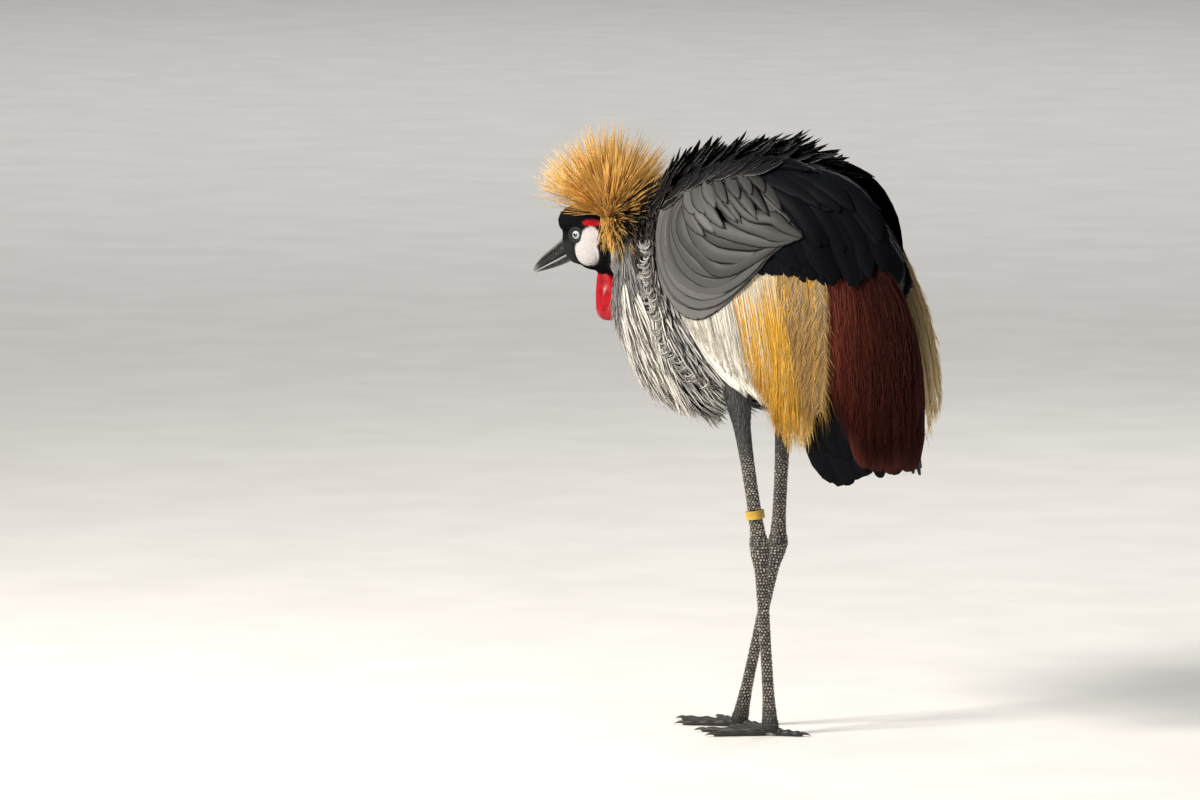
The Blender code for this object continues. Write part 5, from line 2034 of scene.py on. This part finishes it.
    def grow_gold(self, rng: np.random.Generator) -> None:
        """Golden plumes of loose barbs, with tan ones among them."""
        finish = PlumeFinish(
            "plume_gold_" + self.side.word, tip=GOLD, tip_amount=0.7, tip_start=0.35, root=SAND,
            root_amount=0.9, root_end=0.4, barbs=30, barb_depth=0.3, roughness=0.5,
        )
        gold = Plumage(f"wing_{self.side.word}_gold", finish, "plumage_gold")
        fine = PlumeFinish("barb_gold_" + self.side.word, barbs=20, barb_depth=0.3, roughness=0.5)
        barbs = Plumage(f"wing_{self.side.word}_gold_barbs", fine, "plumage_gold")
        pale = np.array(STRAW) * 1.1
        inner, middle, outer = ((40, 560), (84, 570)), ((60, 566), (124, 570)), ((84, 570), (138, 566))
        fans = (
            (Fan(RIBBON, inner, ((72, 374), (94, 356)), 10, (13, 18), (-18, -2), -1), GOLD, 40, (12, 26)),
            (Fan(RIBBON, middle, ((92, 356), (122, 364)), 12, (13, 18), (-16, 0), 0.5), STRAW, 44, (12, 26)),
            (Fan(RIBBON, outer, ((112, 404), (140, 392)), 10, (10, 14), (-8, -14), 3), TAN, 50, (26, 48)),
        )
        for fan, tint, pairs, angle in fans:
            mixed = between(tint, pale, rng.uniform(0, 0.35, (fan.count, 1)))
            shafts = self.grow(barbs if tint is TAN else gold, fan, rng, mixed)
            barb = barbs.add(shafts.barbs(rng, pairs, (16, 30), angle, (0.7, 1.2)), STRAND)
            high = smooth_step(barb.root[:, 2], 470, 545)[:, None] * (0.3 if tint is TAN else 0.9)
            barb.tint[:, :3] = between(barb.tint[:, :3], SAND, high)
        strands = (
            (((14, 552), (100, 572)), ((44, 430), (78, 362), (96, 350), (112, 354)),
                640, (-22, -4), 2, (2, 10), GOLD, gold),
            (((80, 572), (138, 568)), ((96, 400), (118, 362), (136, 380)),
                260, (-26, 6), 3, (4, 16), TAN, barbs),
        )
        for roots, tips, count, bend, layer, wave, low, coat in strands:
            group = Fan(
                LONG_STRAND, roots, tips, count, width=(0.8, 1.4), bend=bend, layer=layer,
                lift=(0, 1.5), jitter=3, clump=16, wave=wave,
            )
            self.grow(coat, group, rng, between(low, GOLD, rng.uniform(0, 1, (count, 1))))
        if self.side is Side.RIGHT:
            tips = ((184, 356), (200, 376), (216, 408))
            rear = Fan(RIBBON, ((132, 566), (158, 574)), tips, 9, (9, 13), (-14, -30), 6)
            shafts = barbs.add(rear.grow(self.shell, self.side, (1.0, 0.0), rng, CORN), RIBBON)
            barbs.add(shafts.barbs(rng, 44, (18, 30), (12, 28), (0.8, 1.3)), STRAND)
        gold.make(rng)
        barbs.make(rng)

    def grow_chestnut(self, rng: np.random.Generator) -> None:
        """Maroon secondaries, broad beneath and loose-barbed on top."""
        finish = PlumeFinish(
            "secondary_chestnut_" + self.side.word, tip=MAROON, tip_amount=0.5, edge=RUST,
            edge_amount=0.25, edge_start=0.6, barbs=60, barb_depth=0.45, roughness=0.55, gloss=0.08,
        )
        maroon = Plumage(f"wing_{self.side.word}_secondaries", finish, "plumage_chestnut")
        low, middle = ((182, 330), (216, 323), (238, 330)), ((166, 380), (200, 354), (242, 380))
        upper = ((150, 424), (182, 366), (238, 424))
        fans = (
            (Fan(PADDLE, ((134, 570), (190, 568)), low, 13, (26, 31), (-2, -44), -5), 0.6, 0),
            (Fan(PADDLE, ((130, 572), (188, 570)), middle, 12, (23, 28), (-4, -44), -3), 0.8, 0),
            (Fan(RIBBON, ((132, 572), (188, 572)), upper, 14, (12, 18), (-6, -40), -1), 1.1, 42),
        )
        # Painted shade and light: the lower tiers are darkened (0.6, 0.8), the upper tier (1.1) and the
        # strands on top (1.5) brightened.
        for fan, light, pairs in fans:
            shafts = self.grow(maroon, fan, rng, self.maroon_tint(fan.count, light, rng))
            if pairs:
                maroon.add(shafts.barbs(rng, pairs, (20, 34), (8, 22), (0.8, 1.4)), STRAND)
        strands = Fan(
            LONG_STRAND, ((132, 572), (192, 570)), ((146, 410), (182, 332), (238, 338)),
            count=1100, width=(0.8, 1.5), bend=(-4, -38), lift=(0, 2.5), jitter=3, clump=14, wave=(3, 14),
        )
        self.grow(maroon, strands, rng, self.maroon_tint(strands.count, 1.5, rng))
        maroon.make(rng)

    def maroon_tint(self, count: int, light: float, rng: np.random.Generator) -> Array:
        """Maroon for each feather from front to rear, with a random share of rust; painted light and shade
        make it lit and rustier in front and near black behind.
        """
        # Painted light and shade: lighter in front, near black at the rear.
        painted_shading = np.interp(np.arange(count) / count, (0, 0.35, 0.6, 1), (1.3, 0.9, 0.5, 0.3))[:, None]
        rust = rng.uniform(0, 0.7, (count, 1)) * painted_shading
        return between(MAROON, RUST, rust) * light * painted_shading


@dataclass
class Tail:
    """The black tail feathers between the wings."""

    root: Place = (187, 486)
    length: float = 172.0
    feathers: int = 11

    def make(self, rng: np.random.Generator) -> None:
        """Grow the fan."""
        finish = PlumeFinish(
            "tail_black", barb_depth=0.25, bump=0.25, barbs=170, roughness=0.4, gloss=0.6
        )
        tail = Plumage("tail_feathers", finish, "plumage_black")
        place = np.arange(self.feathers) - (self.feathers - 1) / 2
        same = np.ones(self.feathers)
        x = self.root[0] - np.abs(place) * 1.2
        root = np.stack([x, place * 1.8, same * self.root[1]], axis=-1)
        heading = unit(np.stack([same * 0.03, place * 0.022, -same], axis=-1))
        normal = np.tile(np.array([1.0, 0, 0.16]), (self.feathers, 1))
        growth = Growth.grow(
            (root, normal, heading), rng, INK, (0.98, 1.02), (22, 26), lift=(0, 3), curl=(-3, 0),
            sweep=(-2, 2), roll=(-4, 4), wave=(0, 1),
        )
        growth.length = growth.length * (self.length - np.abs(place) * 3.5)
        tail.add(growth, BLADE)
        cover = replace(growth, length=growth.length * 0.55, lift=growth.lift + 5)
        tail.add(cover, BLADE)
        tail.make(rng, ("tail",))


@dataclass
class Leg:
    """Tibia, tarsus and foot of one side, with scales and claws."""

    side: Side
    hip: tuple[float, float, float]
    ankle: tuple[float, float, float]
    foot: tuple[float, float, float]
    heading: float
    steps: tuple[float, ...] = (0, 0.06, 0.16, 0.28, 0.43, 0.49, 0.515, 0.545, 0.59, 0.75, 0.9, 0.965, 1)
    radii: tuple[float, ...] = (15.2, 14.8, 9.6, 7.8, 7.6, 9.0, 11.4, 10.8, 7.4, 6.3, 6.6, 8.4, 10.4)
    toes: tuple[Place, ...] = ((-30, 78), (0, 96), (31, 80), (176, 50))
    toe_radii: tuple[float, ...] = (7.4, 5.0, 5.6, 4.1, 4.7, 3.5, 3.9, 2.6)
    claw: float = 11.0
    claw_root: float = 2.5
    feathered: Span = (0.02, 0.26)
    scaled: Span = (0.215, 0.985)
    scale_gaps: Place = (3.7, 3.3)
    scale_half: tuple[float, float, float] = (1.6, 1.7, 1.2)

    def line(self, share: Array) -> Array:
        """Points down the leg."""
        corners = np.array([self.hip, self.ankle, self.foot], float)
        table = [np.interp(share, (0, 0.525, 1), corners[:, axis]) for axis in range(3)]
        return np.stack(table, axis=-1)

    def radius(self, share: Array) -> Array:
        """The leg's radius at shares of its length."""
        table = np.array(self.radii)[:, None]
        places = np.interp(share, self.steps, np.arange(len(self.steps)))
        return smooth_rows(table, places)[..., 0]

    def make(self, rng: np.random.Generator) -> None:
        """Build skin, scales, toes and claws, and the short feathers of the thigh."""
        word = self.side.word
        skin = ScaleFinish("leg_skin_" + word, (0.022, 0.021, 0.020), (0.06, 0.055, 0.050)).material()
        scale = ScaleFinish("leg_scales_" + word, (0.030, 0.028, 0.026), (0.50, 0.45, 0.38)).material()
        parts = bmesh.new()
        self.add_tube(parts, self.shaft, 36, 120)
        seats = self.leg_seats(rng)
        claws = bmesh.new()
        for bearing, length in self.toes:
            toe = self.toe_line(bearing, length)
            self.add_tube(parts, toe, 20, 46)
            seats.append(self.toe_seats(toe, length, rng))
            self.add_claw(claws, bearing, length)
        nodes = (f"tibia_{word}", f"tarsus_{word}", f"foot_{word}")
        flat = np.zeros((len(parts.verts), 2))
        piece = closed_piece(f"leg_{word}_skin", parts, skin, surface=flat)
        put_in(piece, nodes)
        put_in(scale_piece(f"leg_{word}_scales", seats, scale))
        dark, light = (0.012, 0.012, 0.013), (0.09, 0.085, 0.08)
        # 0.5 is the painted highlight along each claw's ridge
        horn = HornFinish("claw_horn_" + word, dark, light, 0.5).material()
        surface = np.tile(np.array([0.5, 0.3]), (len(claws.verts), 1))
        put_in(closed_piece(f"claws_{word}", claws, horn, surface=surface))
        self.grow_thigh(rng)

    def shaft(self, share: Array, bearing: Array) -> Array:
        """The leg's surface, with the folds of the ankle."""
        centre = self.line(share)
        round_it = self.radius(share)
        crease = 0.35 * np.sin((share - 0.5) * 560) * np.exp(-(((share - 0.515) / 0.028) ** 2))
        round_it = round_it + crease
        x = centre[:, 0] + round_it * np.sin(bearing) * 1.04
        y = centre[:, 1] + round_it * np.cos(bearing) * 0.94
        return np.stack([x, y, centre[:, 2]], axis=-1)

    def by_toe(self, bearing: float, reach: Array, side: Array, rise: Array) -> Array:
        """Places along a toe.

        Args:
            bearing: The toe's bearing in degrees.
            reach: How far along it they are.
            side: How far to its side.
            rise: How far above the floor.

        Returns:
            The points.
        """
        angle = math.radians(bearing + self.heading)
        ahead = np.array([-math.cos(angle), math.sin(angle), 0.0])
        across = np.array([-ahead[1], ahead[0], 0.0])
        middle = np.array([self.foot[0], self.foot[1], 0.0]) + ahead * reach[:, None]
        return middle + across * side[:, None] + np.array([0, 0, 1.0]) * rise[:, None]

    def toe_line(self, bearing: float, length: float) -> Shape:
        """The surface of one toe, flat below."""
        table = np.array(self.toe_radii)[:, None]

        def shape(share: Array, turn: Array) -> Array:
            """Points on the toe."""
            size = smooth_rows(table, share * (len(table) - 1))[..., 0]
            rise = np.maximum(size * 0.66 + np.cos(turn) * size * 0.92, 0.0)
            rise = rise + 3.0 * (1 - smooth_step(share, 0.0, 0.25))
            return self.by_toe(bearing, (length - self.claw) * share, np.sin(turn) * size, rise)

        return shape

    def add_tube(self, bm: bmesh.types.BMesh, shape: Shape, sides: int, rows: int) -> None:
        """Add a closed tube to a mesh.

        Args:
            bm: Where it goes.
            shape: Its surface.
            sides: Sides round it.
            rows: Rows along it.
        """
        tube, _ = wrapped(sides, rows, shape)
        mesh = bpy.data.meshes.new("tube")
        tube.to_mesh(mesh)
        tube.free()
        bm.from_mesh(mesh)
        bpy.data.meshes.remove(mesh)

    def leg_seats(self, rng: np.random.Generator) -> list[tuple[Array, Array, Array, Array]]:
        """Seats of the small many-sided scales down the leg."""
        share = []
        bearing = []
        gap, drop = self.scale_gaps
        at, end = self.scaled
        while at < end:
            around = max(int(2 * math.pi * self.radius(np.array([at]))[0] / gap), 9)
            turn = (np.arange(around) + 0.5 * (len(share) % 2)) / around * 2 * math.pi
            bearing.append(turn + rng.normal(0, 0.02, around))
            share.append(np.full(around, at) + rng.normal(0, 0.0010, around))
            at += drop / self.hip[2]
        share, bearing = np.concatenate(share), np.concatenate(bearing)
        place = self.shaft(share, bearing)
        along = unit(self.shaft(share + 0.002, bearing) - place)
        around = unit(self.shaft(share, bearing - 0.05) - place)
        full = np.interp(share, (self.scaled[0], 0.29), (0.45, 1.0))[:, None]
        size = np.array(self.scale_half) * full * rng.uniform(0.75, 1.12, (len(place), 1))
        return [(place, along, around, size)]

    def toe_seats(
        self, toe: Shape, length: float, rng: np.random.Generator
    ) -> tuple[Array, Array, Array, Array]:
        """Seats of the wider scutes along the top of a toe and the small ones beside them."""
        rows = int(length / 2.6)
        share = np.repeat((np.arange(rows) + 0.8) / (rows + 1), 5)
        bearing = np.tile(np.array([0.0, 0.72, -0.72, 1.25, -1.25]), rows)
        place = toe(share, bearing)
        along = unit(toe(share + 0.01, bearing) - place)
        around = unit(toe(share, bearing + 0.05) - place)
        wide = np.where(np.abs(bearing) < 0.1, 1.0, 0.62)
        radius = np.interp(share, (0, 1), (3.2, 1.5))
        same = np.ones(len(place))
        size = np.stack([same * 1.25, wide * radius * 0.5, same * 0.5], axis=-1)
        return place, along, around, size * rng.uniform(0.92, 1.08, (len(place), 1))

    def add_claw(self, bm: bmesh.types.BMesh, bearing: float, length: float) -> None:
        """Add one short curved claw to a mesh.

        Args:
            bm: Where it goes.
            bearing: The toe's bearing in degrees.
            length: The toe's length with its claw.
        """
        whole = self.claw + self.claw_root

        def shape(share: Array, turn: Array) -> Array:
            """The claw, bent down to the floor."""
            size = 2.7 * (1 - share) ** 0.8 + 0.12
            reach = length - whole + whole * share
            rise = 2.9 + 1.2 * np.sin(share * 2.2) - 3.0 * share**2 + np.cos(turn) * size * 0.9
            return self.by_toe(bearing, reach, np.sin(turn) * size * 0.8, np.maximum(rise, 0.05))

        self.add_tube(bm, shape, 14, 16)

    def grow_thigh(self, rng: np.random.Generator) -> None:
        """Short grey feathers down the upper leg."""
        word = self.side.word
        finish = PlumeFinish("thigh_grey_" + word, tip=ASH, tip_amount=0.3, roughness=0.75)
        coat = Plumage(f"thigh_{word}", finish, "plumage_slate")
        share, turn = spread(1200, self.feathered, (-math.pi, math.pi))
        place = self.shaft(share, turn)
        along = unit(self.shaft(share + 0.004, turn) - place)
        around = unit(self.shaft(share, turn + 0.05) - place)
        normal = np.cross(along, around)
        outward = place - self.line(share)
        normal = normal * np.sign(np.sum(normal * outward, axis=-1, keepdims=True))
        tint = np.array(SMOKE) * rng.uniform(0.5, 1.1, (len(share), 1))
        growth = Growth.grow((place, normal, along), rng, tint, (7, 13), (1.2, 2.2), (5, 10), (-6, 0))
        shorter = np.interp(share, (0.10, self.feathered[1]), (1.0, 0.25))
        growth.length = growth.length * shorter
        growth.lift = growth.lift * shorter
        coat.add(growth, STRAND)
        coat.make(rng)


def scale_piece(
    name: str, groups: list[tuple[Array, Array, Array, Array]], material: bpy.types.Material
) -> bpy.types.Object:
    """Many small horny scales as one piece.

    Args:
        name: The piece's name.
        groups: Places, directions along and around, and half sizes.
        material: Their finish.

    Returns:
        The new object.
    """
    bm = bmesh.new()
    bmesh.ops.create_cone(bm, cap_ends=True, segments=6, radius1=1, radius2=0.62, depth=1)
    bmesh.ops.triangulate(bm, faces=bm.faces)
    template = bm_points(bm)
    faces = np.array([[vert.index for vert in face.verts] for face in bm.faces])
    bm.free()
    place, along, around, size = (np.concatenate(part) for part in zip(*groups))
    up = unit(np.cross(along, around))
    part = template[None] * size[:, None]
    points = place[:, None] + along[:, None] * part[..., :1] + around[:, None] * part[..., 1:2]
    points = points + up[:, None] * part[..., 2:]
    starts = np.arange(len(place)) * len(template)
    every = (faces[None] + starts[:, None, None]).reshape(-1, 3)
    mesh = mesh_from(name, to_scene(points.reshape(-1, 3)), every)
    mesh.polygons.foreach_set("use_smooth", np.zeros(len(mesh.polygons), bool))
    mesh.materials.append(material)
    height = np.tile(template[:, 2] + 0.5, len(place))
    add_map(mesh, VANE_MAP, np.stack([np.full(len(height), 0.5), height], axis=-1))
    return linked(name, mesh)


@dataclass
class LegBand:
    """The plain yellow ring on the left leg."""

    leg: Leg
    height: float = 260.0
    half: float = 5.0
    radius: float = 11.2
    bore: float = 8.6

    def make(self) -> None:
        """Turn its section round the leg."""
        leg_span = self.leg.hip[2] - self.leg.ankle[2]
        share = (self.leg.hip[2] - self.height) / leg_span
        centre = Vector(self.leg.hip).lerp(Vector(self.leg.ankle), share)
        axis = (Vector(self.leg.ankle) - Vector(self.leg.hip)).normalized()
        bm = bmesh.new()
        middle = Matrix.Translation(((self.radius + self.bore) / 2, 0, 0))
        upright = Matrix.Rotation(math.pi / 2, 4, "X")
        section = Matrix.Diagonal((self.radius - self.bore, 2 * self.half, 1, 1))
        bmesh.ops.create_grid(bm, x_segments=1, y_segments=1, size=0.5, matrix=middle @ upright @ section)
        bmesh.ops.bevel(
            bm, geom=list(bm.verts), offset=0.7, affect="VERTICES", segments=3, profile=0.5, material=-1
        )
        bmesh.ops.delete(bm, geom=list(bm.faces), context="FACES_ONLY")
        geometry = list(bm.verts) + list(bm.edges)
        bmesh.ops.spin(
            bm, geom=geometry, cent=(0, 0, 0), axis=(0, 0, 1), angle=2 * math.pi, steps=72, use_merge=True
        )
        tilt = axis.to_track_quat("Z", "Y").to_matrix().to_4x4()
        bmesh.ops.transform(bm, matrix=Matrix.Translation(centre) @ tilt, verts=bm.verts)
        put_in(closed_piece("band_left_ring", bm, BandFinish().material()), ("band_left",))


@dataclass
class Studio:
    """Floor, lights and camera."""

    azimuth: float = 33.0
    elevation: float = 6.0
    metres_per_pixel: float = 0.001175
    image: tuple[int, int] = (1200, 800)
    origin_pixel: tuple[int, int] = (757, 731)
    lens: float = 300.0
    sensor: float = 36.0

    def axes(self) -> tuple[Vector, Vector, Vector]:
        """The camera's right, up and back directions."""
        turn, rise = math.radians(self.azimuth), math.radians(self.elevation)
        right = Vector((math.cos(turn), math.sin(turn), 0))
        level = math.cos(rise)
        back = Vector((math.sin(turn) * level, -math.cos(turn) * level, math.sin(rise)))
        return right, back.cross(right), back

    def make(self) -> None:
        """Set up everything round the bird."""
        self.add_camera()
        self.add_floor()
        right, up, back = self.axes()
        middle = Vector(OFFSET) + Vector((0, 0, 0.42))
        lights = (
            ("key", middle - right * 2.5 + back * 1.7 + up * 1.8, 1.0, 430.0, (1.0, 0.94, 0.85)),
            ("fill", middle + right * 2.8 + back * 1.9 + up * 0.9, 2.4, 36.0, (0.88, 0.93, 1.0)),
            ("rim", middle + right * 1.2 - back * 2.6 + up * 2.4, 1.2, 70.0, (1.0, 0.97, 0.92)),
            ("top", middle + up * 3.2, 2.2, 40.0, (1.0, 0.99, 0.97)),
        )
        for name, place, size, power, colour in lights:
            self.add_light(name, place, middle, size, power, colour)
        behind = middle - back * 9 + up * 4
        self.add_light("backdrop", behind, behind - Vector((0, 0, 1)), 9.0, 420.0, (1.0, 0.99, 0.97))
        world = bpy.data.worlds.new("studio")
        world.use_nodes = True
        sky = world.node_tree.nodes["Background"].inputs
        sky["Color"].default_value = (0.72, 0.73, 0.75, 1)
        sky["Strength"].default_value = 0.7
        bpy.context.scene.world = world
        bpy.context.scene.view_settings.view_transform = "Standard"
        bpy.context.scene.view_settings.exposure = -1.3

    def add_camera(self) -> None:
        """Place the camera at the photo's angle, far off on a long lens."""
        right, up, back = self.axes()
        across = (self.image[0] / 2 - self.origin_pixel[0]) * self.metres_per_pixel
        above = (self.origin_pixel[1] - self.image[1] / 2) * self.metres_per_pixel
        target = Vector(OFFSET) + right * across + up * above
        data = bpy.data.cameras.new("camera")
        data.lens = self.lens
        data.sensor_width = self.sensor
        data.clip_end = 60
        distance = self.image[0] * self.metres_per_pixel * self.lens / self.sensor
        camera = linked("camera", data)
        turned = Matrix((right, up, back)).transposed().to_4x4()
        turned.translation = target + back * distance
        camera.matrix_world = turned
        bpy.context.scene.camera = camera

    def add_floor(self) -> None:
        """Lay the floor."""
        bm = bmesh.new()
        bmesh.ops.create_grid(bm, x_segments=1, y_segments=1, size=30)
        mesh = bpy.data.meshes.new("floor")
        bm.to_mesh(mesh)
        bm.free()
        mesh.materials.append(FloorFinish().material())
        floor = linked("floor", mesh)
        floor.location = (0, 0, -0.0005)

    def add_light(
        self, name: str, place: Vector, target: Vector, size: float, power: float, colour: Colour
    ) -> None:
        """Hang one soft light that points at the bird.

        Args:
            name: Its name.
            place: Where it hangs.
            target: What it points at.
            size: Its side.
            power: Its power in watts.
            colour: Its colour.
        """
        data = bpy.data.lights.new(name, "AREA")
        data.size = size
        data.energy = power
        data.color = colour
        light = linked(name, data)
        light.location = place
        light.rotation_euler = (target - place).to_track_quat("-Z", "Y").to_euler()


def main() -> None:
    """Build the crane and the studio round it."""
    logging.basicConfig(level=logging.INFO, format="%(message)s")
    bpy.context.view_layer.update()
    studio = Studio()
    studio.make()
    rng = np.random.default_rng(SEED)
    body = Body()
    body.make_skin()
    body.make_coat(rng)
    Bill().make()
    for side in Side:
        Eye(side).make()
    Crest().make(rng)
    Wattle().make()
    for side in Side:
        Wing(side).make(rng)
    Tail().make(rng)
    left = Leg(Side.LEFT, (-6, -42, 425), (21, -28, 222), (31, -20, 6), -12)
    right = Leg(Side.RIGHT, (14, 40, 425), (17, 18, 221), (-41, 26, 6), 6)
    left.make(rng)
    right.make(rng)
    LegBand(left).make()
    bpy.context.view_layer.update()


if __name__ == "__main__":
    main()
